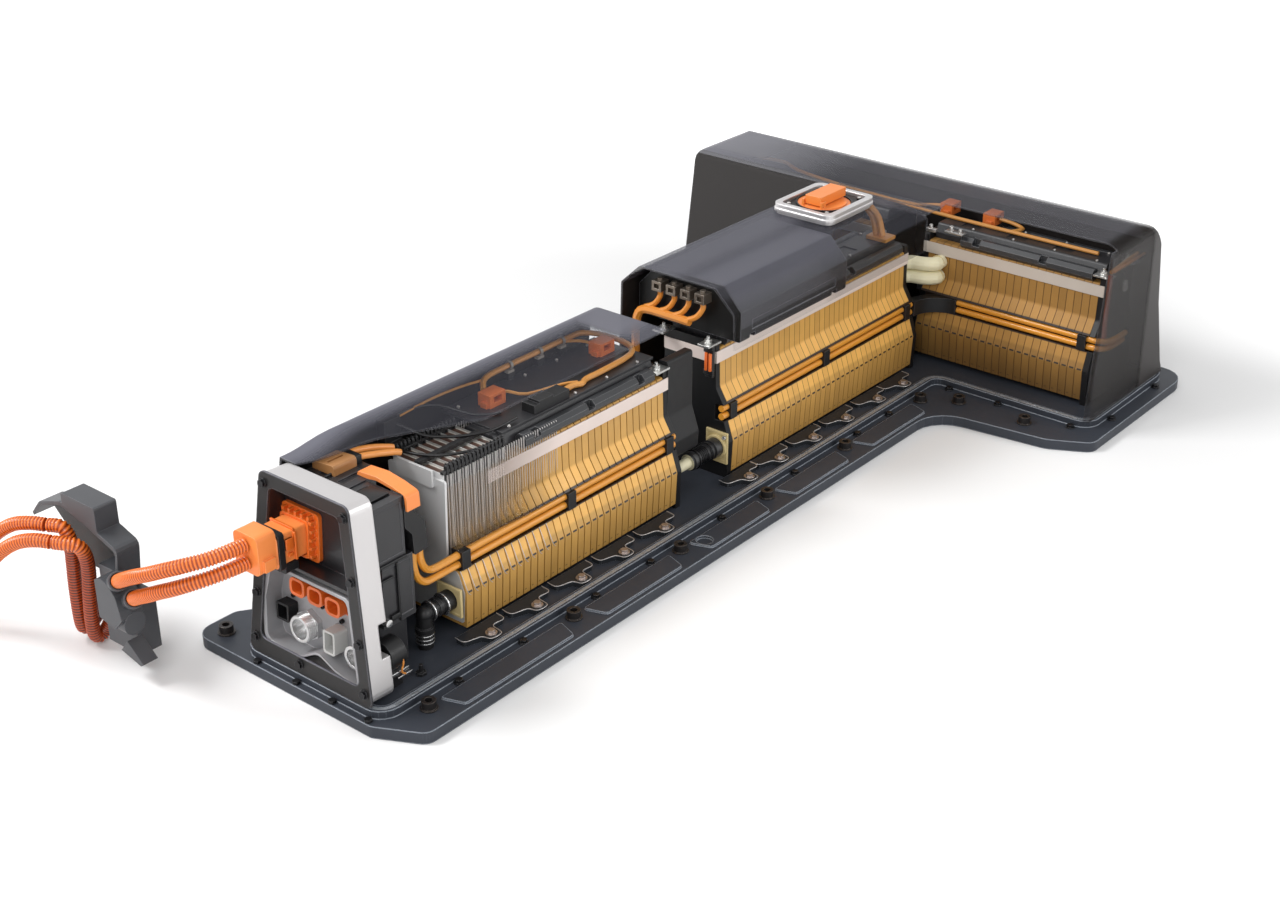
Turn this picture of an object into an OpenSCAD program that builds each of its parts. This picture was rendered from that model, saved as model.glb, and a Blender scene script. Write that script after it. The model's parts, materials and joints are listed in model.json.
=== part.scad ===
// T-shaped traction battery pack with part of its cover cut away.
// The tunnel runs along X, the crossbar lies across its rear end.
// Stations along the pack are measured from the front edge of the tray.

/* [Tray] */
// Length from the front edge to the rear edge of the tray
pack_length = 1680; // [1660:5:1740]
// Width over the crossbar's flange
pack_width = 936; // [926:2:980]
// Width over the tunnel's flange
tunnel_flange_width = 394; // [386:2:410]
// Sheet thickness of the stamped tray
tray_gauge = 3; // [2:0.5:4]
// Height of the flange's top face
flange_top = 18; // [15:1:20]
// Height of the floor inside the seal
floor_top = 24; // [23:1:26]
// Height of the ridge that carries the seal and the covers
ridge_top = 30; // [29:1:32]
// Width of the ridge
ridge_width = 14; // [12:1:16]
// Height of the raised flange panels above the flange
panel_rise = 3; // [2:0.5:5]

/* [Covers] */
// Width of the tunnel between the seal's centre lines
tunnel_width = 262; // [258:1:268]
// Width of the crossbar between the seal's centre lines
crossbar_width = 868; // [860:2:876]
// Wall thickness of the moulded covers
cover_wall = 3; // [2:0.5:4]
// Width of the foot that seats on the ridge
cover_foot = 10; // [8:1:12]
// Width of the tunnel's roof
roof_width = 176; // [170:2:180]
// Height of the front cover's roof
front_roof = 323; // [320:1:330]
// Drop of the front cover's roof at the connector face
roof_drop = 16; // [0:1:20]
// Station where the front cover ends
front_cover_end = 690; // [688:1:700]
// Station where the rear cover starts
rear_cover_start = 790; // [785:1:795]
// Height of the rear cover's hump
hump_roof = 360; // [356:1:366]
// Height of the crossbar's roof
crossbar_roof = 330; // [326:1:336]

/* [Connector face] */
// Angle that the connector face leans back
face_lean = 3.4; // [0:0.2:5]
// Height of the connector face along its slope
face_height = 279; // [270:1:285]
// Width of the connector face at its foot
face_foot_width = 240; // [230:2:250]
// Width of the connector face at its top
face_top_width = 166; // [160:2:172]
// Depth of the cast housing behind the face
housing_depth = 38; // [30:1:44]
// Wall of the cast housing
housing_wall = 11; // [8:0.5:12]
// Outer diameter of the threaded connector
threaded_d = 37; // [30:1:40]
// Outer diameter of the coolant port
port_d = 30; // [24:1:32]
// Wall of the coolant port
port_wall = 3; // [2:0.5:4]

/* [Modules] */
// Pitch of the cell frames
cell_pitch = 14.5; // [14.4:0.1:14.6]
// Width of the frames over their lower half
cell_lower_width = 160; // [150:2:162]
// Width of the frames over their upper half
cell_upper_width = 100; // [96:2:104]
// Height of the frames' feet
cell_foot = 33; // [31:1:36]
// Height of the frames' tops
cell_top = 240; // [236:1:244]
// Thickness of a cooling fin
fin = 1.2; // [0.8:0.2:1.6]
// Thickness of the module end plates
end_plate = 10; // [8:1:10]
// Thickness of the side straps
strap = 1.5; // [1:0.25:2]
// Width of the side straps
strap_width = 20; // [16:1:22]
// Station of the first cell frame
front_module = 230; // [229:0.5:231]
// Number of frames in the front module
front_cells = 32; // [30:1:32]
// Station of the middle module's first frame
middle_module = 836; // [835:0.5:838]
// Number of frames in the middle module
middle_cells = 37; // [35:1:37]
// Station of the crossbar modules' centre line
crossbar_centre = 1507; // [1504:1:1508]
// Distance from the pack's centre line to the crossbar modules
crossbar_gap = 50; // [48:1:54]
// Number of frames in each crossbar module
crossbar_cells = 23; // [20:1:23]

/* [Cables] */
// Diameter of the traction cables in the side channels
cable_d = 11; // [9:0.5:11.5]
// Diameter of the sense harness
harness_d = 9; // [6:0.5:10]
// Diameter of the corrugated conduits
conduit_d = 20; // [18:0.5:22]

/* [Service disconnect] */
// Length of the disconnect's frame along the pack
disconnect_length = 138; // [134:1:140]
// Width of the disconnect's frame
disconnect_width = 118; // [116:1:122]
// Height of the disconnect's rim
disconnect_top = 378; // [376:1:384]
// Station of the disconnect's centre
disconnect_station = 1186; // [1184:1:1188]
// Diameter of the service plug
plug_d = 88; // [80:1:90]
// Turn of the lever, 0 lies flat
lever_turn = 0; // [0:5:90]

/* [Fasteners] */
// Across-flats size of the cover bolts
bolt_flats = 10; // [8:1:13]
// Shank diameter of the cover bolts
bolt_d = 6; // [5:0.5:6]
// Outer diameter of the mounting bushings
bushing_d = 20; // [18:0.5:22]
// Bore of the mounting bushings
bushing_bore = 11; // [9:0.5:13]
// Height of the bushings' tops
bushing_top = 31; // [28:1:36]

/* [Hidden] */

$fn = 32;
// Running clearance between neighbouring pieces
gap = 0.3;
// Station 0, the front edge of the tray
x0 = -pack_length / 2;
// Stations of the seal's centre line
seal_front = 19;
seal_crossbar = pack_length - 313;
seal_rear = pack_length - 40;
seal_radius = 24;
// Stations of the bushings along the tunnel and their distance from the centre line
bushing_stations = [77, 363, 605, 825, 1045, 1280];
bushing_side = 157;
crossbar_bushings = [[seal_crossbar - 50, 212], [seal_crossbar - 50, 340]];
// Stations of the bolts along the tunnel and their distance from the centre line
bolt_stations = [144, 270, 424, 548, 722, 917, 1099, 1197];
bolt_side = 146;
crossbar_bolts = [[seal_crossbar - 16, 172], [seal_crossbar - 16, 270], [seal_crossbar - 16, 409],
    [pack_length - 256, pack_width / 2 - 19], [pack_length - 88, pack_width / 2 - 19],
    [pack_length - 22, 360], [pack_length - 22, 180], [pack_length - 22, 60]];
front_bolts = [99, 20, -50, -118];
bracket_side = 111;
bracket_stations = [244, 338, 433, 529, 625, 840, 924, 1020, 1116, 1214, 1296];
module_shoulder = 88;
slot_bottom = 121;
slot_top = 149;
slot_depth = 18;
taper_top = 175;
cell_gap = 0.4;
front_frame = cell_pitch - fin - 2 * gap;
middle_frame = cell_pitch - cell_gap;
front_module_end = front_module + front_cells * cell_pitch;
middle_module_end = middle_module + middle_cells * cell_pitch;
crossbar_end = crossbar_gap + crossbar_cells * cell_pitch;
tab_height = 22;
bare_cells = 8;
board_start = front_module + bare_cells * cell_pitch + 4;
board_top = cell_top + 26;
rail_side = 44;
cable_side = 63;
cable_low = 128.2;
cable_high = 142;
face_station = 13;
groove_width = 5;
groove_depth = 3;
bracket_rise = 8;
panel_wall = 4;
dish_back = housing_depth - 6;
mouth_depth = 8;
connector_length = cover_wall + housing_depth - mouth_depth;
// Places of the connectors on the face: distance left of the centre line, height up the slope
auxiliary_places = [[28, 123], [-6, 122], [-40, 119]];
signal_place = [66, 70];
data_place = [-31, 63];
threaded_place = [26, 61];
port_place = [-68, 52];
socket_w = 28;
socket_h = 26;
header_y = 35;
header_w = 196;
plug_start = -40;
plug_length = 83;
plug_width = 44;
plug_height = 44;
plug_clearance = 1.2;
plug_z = ridge_top + header_w * cos(face_lean);
conduit_high = 245;
conduit_low = 219;
board_side = 33;
rail_d = 21;
shelf_top = board_top + 4;
shelf_side = 84;
harness_high = board_top + 26;
harness_tie_stations = [495, 560, 610];
hump_end = 1300;
hump_half = [[tunnel_width / 2 - 3, ridge_top, 0], [tunnel_width / 2 - 9, ridge_top + 30, 0],
    [113, 265, 0], [111, 325, 6], [74, hump_roof, 8]];
box_start = 822;
box_end = 1110;
terminal_sides = [50, 22, -6, -34];
lever_z = hump_roof + 18;
duct_start = middle_module_end + end_plate + gap;
duct_radius = crossbar_centre - cable_side - duct_start;
// Height and rear end of each coolant bend
coolant_bend_ends = [[206, 1454], [180, 1450]];
// Where the front conduits enter the bracket's collars, and the heading they enter with
front_upper_end = [-116.5, 210, 160];
front_lower_end = [-111.5, 188, 139.5];
collar_turn = [0, 122, 63.5];
// Routes of the conduits between the power plug, the bracket and the far fitting
front_upper_route = [[-41, 35, 245], [-69, 39, 244], [-93, 49.5, 240.5], [-112, 66.5, 235],
    [-125.5, 88.5, 226.5], [-133.5, 114.5, 214.5], [-135, 144.5, 200], [-129.5, 176.5, 181.5],
    front_upper_end];
front_lower_route = [[-41, 35, 219], [-68.5, 38.5, 218], [-91, 48.5, 214], [-108.5, 63.5, 208],
    [-120.5, 83, 199], [-127, 106.5, 188], [-127.5, 132, 174], [-122.5, 160, 158], front_lower_end];
rear_upper_route = [[-117.8, 359.6, 192], [-128, 380, 192], [-137, 408, 184], [-145, 440, 162],
    [-152, 476, 126], [-163, 512, 84], [-183, 546, 46], [-212, 580, 22], [-258, 604, 12],
    [-317.2, 606, 11]];
rear_lower_route = [[-129.8, 333.6, 180], [-140, 354, 180], [-150, 382, 171], [-159, 412, 150],
    [-167, 446, 116], [-178, 480, 76], [-197, 514, 41], [-226, 548, 18], [-264, 577, 12],
    [-317.2, 578, 11]];
loop_right = [[-66, 287.8, 52], [-66, 298, 51], [-68, 314, 38], [-72, 324, 20], [-82, 328, 12],
    [-91, 326, 22], [-95, 321, 50], [-96.5, 314, 90], [-97, 307, 130], [-101, 303, 158],
    [-109, 304, 175], [-120, 314, 180], [-128, 330, 180]];
loop_left = [[-64, 287.8, 86], [-64, 300, 85], [-64, 318, 70], [-68, 338, 44], [-76, 350, 24],
    [-87, 354, 18], [-94, 350, 38], [-97, 345, 90], [-98, 340, 132], [-100, 335, 160],
    [-103, 334, 180], [-108, 340, 192], [-116, 356, 192]];
fitting_station = -318;
fitting_y = 594;

// Geometry helpers: unit vectors, filleted outlines and smooth routes
function unit(v) = v / norm(v);

function corner(a, b, c, r, steps) =
    let (u = unit(a - b), w = unit(c - b), half = acos(u * w) / 2)
    let (reach = r / tan(half), centre = b + unit(u + w) * r / sin(half))
    let (p = b + u * reach - centre, q = b + w * reach - centre)
    let (start = atan2(p.y, p.x), raw = atan2(q.y, q.x) - start)
    let (turn = raw > 180 ? raw - 360 : raw < -180 ? raw + 360 : raw)
    r <= 0 ? [b] : [for (i = [0:steps]) centre
        + r * [cos(start + turn * i / steps), sin(start + turn * i / steps)]];

function flat2(p) = [p.x, p.y];

function rounded(corners, steps = 5) =
    let (n = len(corners))
    [for (i = [0:n - 1]) each corner(flat2(corners[(i + n - 1) % n]), flat2(corners[i]),
        flat2(corners[(i + 1) % n]), corners[i].z, steps)];

function both_sides(half) = concat(half,
    [for (i = [len(half) - 1:-1:0]) [half[i].x, -half[i].y, half[i].z]]);

function pair(half) = concat(half,
    [for (i = [len(half) - 1:-1:0]) [-half[i].x, half[i].y, half[i].z]]);

function spline(a, b, c, d, t) = 0.5 * (2 * b + (c - a) * t + (2 * a - 5 * b + 4 * c - d) * t * t
    + (3 * b - a - 3 * c + d) * t * t * t);

function route(p, steps = 3) =
    let (last = len(p) - 1)
    [for (i = [0:last - 1]) for (k = [0:steps - 1])
        spline(p[max(i - 1, 0)], p[i], p[i + 1], p[min(i + 2, last)], k / steps), p[last]];

function headings(p) =
    let (last = len(p) - 1)
    [for (i = [0:last]) unit(p[min(i + 1, last)] - p[max(i - 1, 0)])];

function carried(t, i, n) = i == len(t) ? [] :
    let (m = unit(n - (n * t[i]) * t[i]))
    concat([m], carried(t, i + 1, m));

function first_normal(t) = abs(t.z) > 0.9 ? [1, 0, 0] : [0, 0, 1];

// A round tube or cable along a route of points, in stations
module cable(points, d, sides = 8, steps = 3) {
    path = route(points, steps);
    along = headings(path);
    normal = carried(along, 0, first_normal(along[0]));
    rings = len(path);
    skin = [for (i = [0:rings - 1]) for (k = [0:sides - 1])
        path[i] + d / 2 * (cos(360 * k / sides) * normal[i]
            + sin(360 * k / sides) * cross(along[i], normal[i]))];
    walls = [for (i = [0:rings - 2]) for (k = [0:sides - 1])
        let (a = i * sides + k, b = i * sides + (k + 1) % sides)
        each [[a, a + sides, b + sides], [a, b + sides, b]]];
    caps = [[for (k = [0:sides - 1]) k],
        [for (k = [sides - 1:-1:0]) (rings - 1) * sides + k]];
    translate([x0, 0, 0]) polyhedron(points = skin, faces = concat(walls, caps));
}

// A block between two corners, its x as a station
module block(x, y, z) {
    translate([x0 + x[0], y[0], z[0]]) cube([x[1] - x[0], y[1] - y[0], z[1] - z[0]]);
}

// A profile drawn in width and height, extruded along the pack
module slab_x(station, depth) {
    translate([x0 + station, 0, 0]) rotate([90, 0, 90]) linear_extrude(depth) children();
}

// A profile drawn in station and height, extruded across the pack from y
module slab_y(y, width) {
    translate([x0, y + width, 0]) rotate([90, 0, 0]) linear_extrude(width) children();
}

module at(station, y, z) {
    translate([x0 + station, y, z]) children();
}

module mirror_y() {
    children();
    mirror([0, 1, 0]) children();
}

module rod_x(station, y, z, d, length) {
    at(station, y, z) rotate([0, 90, 0]) cylinder(d = d, h = length);
}

module rod_y(station, y, z, d, length) {
    at(station, y, z) rotate([-90, 0, 0]) cylinder(d = d, h = length);
}

module hex_head(flats, height) {
    cylinder(d = flats / cos(30), h = height, $fn = 6);
}

// Places children on the leaning connector face: x is depth, y is width, z runs up the slope
module on_face(depth = 0) {
    translate([x0 + face_station, 0, ridge_top]) rotate([0, face_lean, 0])
        translate([depth, 0, 0]) children();
}

// A profile drawn in width and slope height, extruded into the face
module face_slab(depth, thickness) {
    on_face(depth) rotate([90, 0, 90]) linear_extrude(thickness) children();
}

function face_half(w) = (face_foot_width - (face_foot_width - face_top_width) * w / face_height) / 2;

// Trapezoid of the connector face, moved inwards by an inset
function face_outline(inset, foot, r) =
    rounded(pair([[face_half(foot + inset) - inset, foot + inset, r],
        [face_half(face_height - inset) - inset, face_height - inset, r]]));

// Outline of the seal's centre line, moved outwards by grow
function seal_outline(grow) =
    rounded(both_sides([
        [x0 + seal_front - grow, -tunnel_width / 2 - grow, seal_radius + grow],
        [x0 + seal_crossbar - grow, -tunnel_width / 2 - grow, seal_radius - grow],
        [x0 + seal_crossbar - grow, -crossbar_width / 2 - grow, seal_radius + grow],
        [x0 + seal_rear + grow, -crossbar_width / 2 - grow, seal_radius + grow]]));

// Outline of the tray, moved inwards by an inset
function tray_outline(inset) =
    let (t = tunnel_flange_width / 2 - inset, w = pack_width / 2 - inset)
    let (front = x0 + inset, rear = x0 + pack_length - inset)
    rounded([[front, -128, 16], [front + 36, -t, 20], [x0 + 1262 + inset, -t, 60 + inset],
        [x0 + 1285 + inset, -400, 60], [x0 + 1322 + inset, -w, 22 - inset], [rear, -w, 45 - inset],
        [rear, w, 45 - inset], [x0 + 1322 + inset, w, 22 - inset], [x0 + 1285 + inset, 400, 60],
        [x0 + 1262 + inset, t, 60 + inset], [x0 + 110 - inset, t, 20],
        [x0 + 72 - inset, 224 - inset, 20], [front, 224 - inset, 26 - inset]]);

module tray() {
    color("#33383f") difference() {
        union() {
            linear_extrude(flange_top) polygon(tray_outline(0));
            linear_extrude(ridge_top) polygon(seal_outline(ridge_width / 2));
            mirror_y() flange_panels();
        }
        translate([0, 0, -1]) linear_extrude(flange_top - tray_gauge + 1)
            polygon(tray_outline(tray_gauge));
        translate([0, 0, -1]) linear_extrude(floor_top - tray_gauge + 1)
            polygon(seal_outline(-ridge_width / 2));
        translate([0, 0, floor_top]) linear_extrude(ridge_top)
            polygon(seal_outline(-ridge_width / 2));
        seal_groove();
        bushing_places() translate([0, 0, -1]) cylinder(d = bushing_d + 2 * gap, h = ridge_top);
        bolt_places() translate([0, 0, -1]) cylinder(d = bolt_d + 2 * gap, h = ridge_top);
        front_bolt_places() translate([0, 0, -1]) cylinder(d = bolt_d + 2 * gap, h = ridge_top);
        mirror_y() at(650, 168, flange_top - 1.5) cylinder(d = 26, h = 5);
    }
}

module seal_groove() {
    translate([0, 0, ridge_top - groove_depth]) linear_extrude(groove_depth + 1) difference() {
        polygon(seal_outline(groove_width / 2));
        polygon(seal_outline(-groove_width / 2));
    }
}

module flange_panels() {
    inner = tunnel_width / 2 + ridge_width / 2 + 16;
    outer = tunnel_flange_width / 2 - 8;
    for (i = [0:len(bushing_stations) - 2])
        difference() {
            linear_extrude(flange_top + panel_rise)
                polygon(rounded([[x0 + bushing_stations[i] + 24, -inner, 3],
                    [x0 + bushing_stations[i + 1] - 24, -inner, 3],
                    [x0 + bushing_stations[i + 1] - 36, -outer, 6],
                    [x0 + bushing_stations[i] + 36, -outer, 6]], 2));
            translate([0, 0, -1]) linear_extrude(flange_top - 1)
                polygon(tray_outline(tray_gauge));
            mirror_y() bolt_row(bolt_stations, bolt_side)
                cylinder(d = 16, h = 60);
        }
}

module cover_gasket() {
    color("#1c1d1f") translate([0, 0, ridge_top - groove_depth]) linear_extrude(groove_depth)
        difference() {
            polygon(seal_outline(groove_width / 2 - gap));
            polygon(seal_outline(gap - groove_width / 2));
        }
}

module bolt_row(stations, side) {
    for (s = stations) at(s, side, 0) children();
}

module bushing_places() {
    mirror_y() {
        bolt_row(bushing_stations, bushing_side) children();
        for (p = crossbar_bushings) at(p.x, p.y, 0) children();
    }
    at(29, 190, 0) children();
}

module bolt_places() {
    mirror_y() {
        bolt_row(bolt_stations, bolt_side) children();
        for (p = crossbar_bolts) at(p.x, p.y, 0) children();
    }
}

module front_bolt_places() {
    for (y = front_bolts) at(6, y, 0) children();
}

module cover_bolts() {
    color("#16171a") bolt_places() {
        translate([0, 0, flange_top]) cylinder(d = bolt_flats + 5, h = 1.5);
        translate([0, 0, flange_top + 1.5]) hex_head(bolt_flats, 4.5);
        translate([0, 0, 6]) cylinder(d = bolt_d, h = flange_top - 5);
    }
    color("#16171a") front_bolt_places() {
        translate([0, 0, flange_top]) hex_head(bolt_flats, 4.5);
        translate([0, 0, 6]) cylinder(d = bolt_d, h = flange_top - 5);
    }
    color("#16171a") housing_bolt_places(0) {
        translate([0, 0, -1.5]) cylinder(d = bolt_flats + 4, h = 1.5);
        translate([0, 0, -5.5]) hex_head(bolt_flats, 4);
        translate([0, 0, -1.5]) cylinder(d = bolt_d, h = cover_wall + gap + 6);
    }
}

module mount_bushings() {
    color("#2b2a2a") bushing_places() difference() {
        union() {
            translate([0, 0, 4]) cylinder(d = bushing_d, h = bushing_top - 4);
            translate([0, 0, flange_top]) cylinder(d = bushing_d + 5, h = 2);
        }
        cylinder(d = bushing_bore, h = bushing_top + 1);
    }
}

module module_brackets() {
    color("#3a3b3d") mirror_y() for (s = bracket_stations)
        at(s, bracket_side - 14, floor_top) difference() {
            linear_extrude(bracket_rise) polygon(rounded([[42, -16, 3], [38, 2, 5], [16, 2, 5],
                [10, 24, 8], [-10, 24, 8], [-16, 10, 5], [-40, 2, 5], [-40, -16, 3]], 3));
            translate([0, 14, -1]) cylinder(d = bolt_d + 2 * gap, h = bracket_rise + 2);
        }
}

module bracket_bolts() {
    color("#b9b2ae") mirror_y() for (s = bracket_stations) at(s, bracket_side, floor_top + bracket_rise) {
        cylinder(d = 17, h = 2);
        translate([0, 0, 2]) hex_head(bolt_flats, 4);
        translate([0, 0, -bracket_rise]) cylinder(d = bolt_d, h = bracket_rise + 1);
    }
}

// Tunnel cross-section of the front cover, outer face moved inwards by t
function tunnel_profile(t) =
    rounded(pair([[tunnel_width / 2 - 3 - t, ridge_top, 0], [tunnel_width / 2 - 8 - t, ridge_top + 18, 0],
        [roof_width / 2 - t, front_roof - t, 20 - t]]));

function roof_height(s) = front_roof - roof_drop * (1 + cos(180 * min(max((s - 80) / 100, 0), 1))) / 2;

// Side view of the front cover's roof line, lowered by t
function roof_line(t) =
    concat([[-20, 0], [front_cover_end + 40, 0], [front_cover_end + 40, front_roof - t]],
        [for (s = [190:-10:70]) [s, roof_height(s) - t]], [[-20, roof_height(0) - t]]);

module front_cover() {
    color("#26272a") {
        difference() {
            front_shell(0);
            front_shell(cover_wall);
            face_slab(-60, 60 + cover_wall) square([600, 1000], center = true);
            translate([x0, 0, 0]) linear_extrude(400) polygon([[0, -200], [0, 62], [66, 62], [300, -60],
                [front_cover_end + 1, -60], [front_cover_end + 1, -200]]);
            on_face(cover_wall) translate([0, -200, -50]) cube([housing_depth + gap, 400, 400]);
        }
        difference() {
            face_slab(0, cover_wall) polygon(face_outline(0, 0, 12));
            face_slab(-1, cover_wall + 2) polygon(face_outline(20, 6, 10));
            housing_bolt_places(-1) cylinder(d = bolt_d + 2 * gap, h = cover_wall + 2);
            block([-50, 100], [-300, 300], [0, ridge_top]);
        }
        difference() {
            block([60, front_cover_end], [tunnel_width / 2 - 3 - cover_foot, tunnel_width / 2 + 4],
                [ridge_top, ridge_top + cover_wall]);
            front_shell(0);
        }
    }
}

module front_shell(t) {
    intersection() {
        slab_x(0, front_cover_end + (t > 0 ? 1 : 0)) polygon(tunnel_profile(t));
        slab_y(-200, 400) polygon(roof_line(t));
    }
}

// Places children at the bolts round the connector face, z pointing into the pack
module housing_bolt_places(depth) {
    spots = [[face_half(262) - 10, 262], [-face_half(262) + 10, 262], [-face_half(176) + 10, 176],
        [-face_half(90) + 10, 90], [-face_half(20) + 12, 20], [18, 15.5], [face_half(25) - 12, 25],
        [face_half(95) - 10, 95]];
    on_face(depth) for (p = spots) translate([0, p.x, p.y]) rotate([0, 90, 0]) children();
}

// Side view of the crossbar's cover, outer face moved inwards by t
function crossbar_profile(t) =
    rounded([[seal_crossbar - 5 + t, ridge_top, 0], [seal_crossbar - 1 + t, 96, 20],
        [seal_crossbar + 6 + t, 151, 30], [seal_crossbar + 23 + t, 280, 20],
        [seal_crossbar + 29 + t, crossbar_roof - t, 20 - t], [seal_rear - 92 - t, crossbar_roof - t, 24 - t],
        [seal_rear - 66 - t, 290, 20], [seal_rear - 48 - t, 177, 40], [seal_rear - 12 - t, 54, 20],
        [seal_rear - t, ridge_top, 0]], 4);

function end_profile(t) =
    rounded(pair([[crossbar_width / 2 + 2 - t, ridge_top, 0],
        [crossbar_width / 2 - 2 - t, crossbar_roof - t, 26 - t]]), 4);

// Side view of the hump, lowered by t
function hump_line(t) = [[rear_cover_start, 0], [1400, 0], [1400, crossbar_roof - 2 - t],
    [hump_end + 46, crossbar_roof - 2 - t], [hump_end, hump_roof - t], [rear_cover_start, hump_roof - t]];

function hump_profile(t) = rounded(pair([for (p = hump_half)
    [p.x - t, p.z > 6 ? p.y - t : p.y - t / 2 * (p.z > 0 ? 1 : 0), p.z]]), 3);

module rear_shell(t) {
    intersection() {
        slab_x(rear_cover_start - (t > 0 ? 1 : 0), 1400 - rear_cover_start) polygon(hump_profile(t));
        slab_y(-200, 400) polygon(concat([[rear_cover_start - 5, 0]], [for (p = hump_line(t)) p]));
    }
    intersection() {
        slab_y(-crossbar_width, 2 * crossbar_width) polygon(crossbar_profile(t));
        slab_x(1300, 400) polygon(end_profile(t));
    }
}

module rear_cover() {
    color("#26272a") difference() {
        rear_shell(0);
        rear_shell(cover_wall);
        block([700, 1376], [-200, -60], [0, 268]);
        block([1340, 1416], [cover_wall + 6 - crossbar_width / 2, -100], [0, 400]);
        translate([x0 + disconnect_station, 0, hump_roof - 20]) linear_extrude(40)
            polygon(rect([disconnect_length - 22, disconnect_width - 22], 10));
    }
}

module connector_housing() {
    color("#cfcfd1") difference() {
        face_slab(cover_wall, housing_depth) polygon(face_outline(1, 2, 15));
        face_slab(0, cover_wall + dish_back) polygon(face_outline(1 + housing_wall, 3, 10));
        face_slab(0, 90) dish_outline(0.92);
        face_slab(0, 90) translate([header_y, header_w]) square([62, 62], center = true);
        on_face(cover_wall + 24) translate([0, -130, 62]) cube([60, 40, 48]);
        housing_bolt_places(0) cylinder(d = bolt_d + 2 * gap, h = cover_wall + 8);
    }
}

// Wavy outline of the lower connector dish, scaled about its middle
module dish_outline(scale_by) {
    translate([0, 80]) scale(scale_by) translate([0, -80])
        polygon(rounded([[92, 22, 14], [92, 92, 20], [84, 120, 14], [78, 146, 10], [-78, 146, 10],
            [-84, 108, 20], [-96, 18, 8], [-50, 26, 20], [-14, 42, 20], [24, 20, 20]], 4));
}

module connector_panel() {
    color("#b4b3b5") difference() {
        face_slab(cover_wall + gap, dish_back - gap) dish_outline(1);
        face_slab(0, cover_wall + dish_back - panel_wall) dish_outline(0.93);
        for (p = auxiliary_places) socket_hole(p, [socket_w + 2 * gap, socket_h + 2 * gap], 8);
        socket_hole(signal_place, [24 + 2 * gap, 26 + 2 * gap], 2);
        socket_hole(data_place, [22 + 2 * gap, 34 + 2 * gap], 4);
        on_face(0) translate([0, threaded_place.x, threaded_place.y]) rotate([0, 90, 0])
            cylinder(d = threaded_d + 2 * gap, h = 90);
        on_face(0) translate([0, port_place.x, port_place.y]) rotate([0, 90, 0])
            cylinder(d = port_d + 2 * gap, h = 90);
    }
}

module socket_hole(place, size, r) {
    face_slab(0, 90) translate(place) polygon(rect(size, r));
}

function rect(size, r, steps = 4) =
    rounded([[-size.x / 2, -size.y / 2, r], [size.x / 2, -size.y / 2, r],
        [size.x / 2, size.y / 2, r], [-size.x / 2, size.y / 2, r]], steps);

module header_bowl() {
    color("#1e1f21") difference() {
        face_slab(cover_wall + gap, dish_back - gap) bowl_outline(0);
        face_slab(0, cover_wall + dish_back - panel_wall) bowl_outline(5);
        face_slab(0, 90) translate([header_y, header_w]) square([56, 56], center = true);
    }
}

module bowl_outline(inset) {
    top = face_height - 3 - housing_wall - inset;
    low = 152 + inset;
    side = housing_wall + 4 + inset;
    polygon(rounded(pair([[face_half(low) - side, low, 10 - inset / 2],
        [face_half(top) - side, top, 14 - inset / 2]])));
}

module power_header() {
    color("#ee6420") {
        face_slab(cover_wall + dish_back - panel_wall - 6, 6) translate([header_y, header_w])
            polygon(rect([70, 70], 6));
        difference() {
            face_slab(14, 16) translate([header_y, header_w]) polygon(rect([54, 54], 6));
            face_slab(10, 30) translate([header_y, header_w])
                polygon(rect([plug_width + 2 * plug_clearance, plug_height + 2 * plug_clearance], 4));
        }
        for (i = [0:4]) {
            face_slab(16, 14) translate([header_y - 30.5, header_w - 26 + i * 12]) square([7, 4]);
            face_slab(16, 14) translate([header_y - 26 + i * 12, header_w + 26.5]) square([4, 6]);
        }
    }
}

module power_plug() {
    color("#f07a35") difference() {
        union() {
            slab_x(plug_start, 30) translate([header_y, (conduit_high + conduit_low) / 2])
                polygon(rect([46, 56], 8));
            slab_x(plug_start + 30, 12) translate([header_y, plug_z])
                polygon(rect([plug_width + 4, plug_height + 4], 6));
            slab_x(plug_start + 42, plug_length - 42) translate([header_y, plug_z])
                polygon(rect([plug_width, plug_height], 4));
            block([plug_start + 6, plug_start + 24], [header_y - 28, header_y - 22], [plug_z - 16, plug_z]);
        }
        block([plug_start + 31, plug_start + 41], [header_y - 40, header_y - plug_width / 2 + 2],
            [plug_z - 60, plug_z + 60]);
        block([plug_start + 31, plug_start + 41], [header_y - 40, header_y + 40],
            [plug_z + plug_height / 2 - 2, plug_z + 60]);
    }
}

module plug_strap() {
    color("#3b3c40") slab_x(plug_start + 31.3, 9.4) translate([header_y, plug_z]) difference() {
        polygon(rect([plug_width + 8, plug_height + 10], 5));
        translate([5, -4]) square([plug_width + 2 * gap + 8, plug_height + 6 + 2 * gap], center = true);
    }
    color("#232427") slab_x(plug_start + 42, 22) translate([header_y - 2, plug_z - plug_height / 2 - 7.3])
        polygon(rect([plug_width - 4, 14], 3));
}

module auxiliary_sockets() {
    color("#ee6a24") for (p = auxiliary_places) difference() {
        union() {
            face_slab(mouth_depth, connector_length)
                translate(p) polygon(rect([socket_w, socket_h], 8));
            face_slab(dish_back - 8, 4) translate(p) polygon(rect([socket_w + 3, socket_h + 2], 4));
        }
        face_slab(mouth_depth - 1, 26) translate(p) polygon(rect([socket_w - 8, socket_h - 8], 5));
    }
}

module signal_connector() {
    color("#1b1b1d") difference() {
        face_slab(mouth_depth + 6, connector_length - 6)
            translate(signal_place) polygon(rect([24, 26], 2));
        face_slab(mouth_depth + 5, 15) translate(signal_place) polygon(rect([18, 20], 1.5));
    }
}

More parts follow.
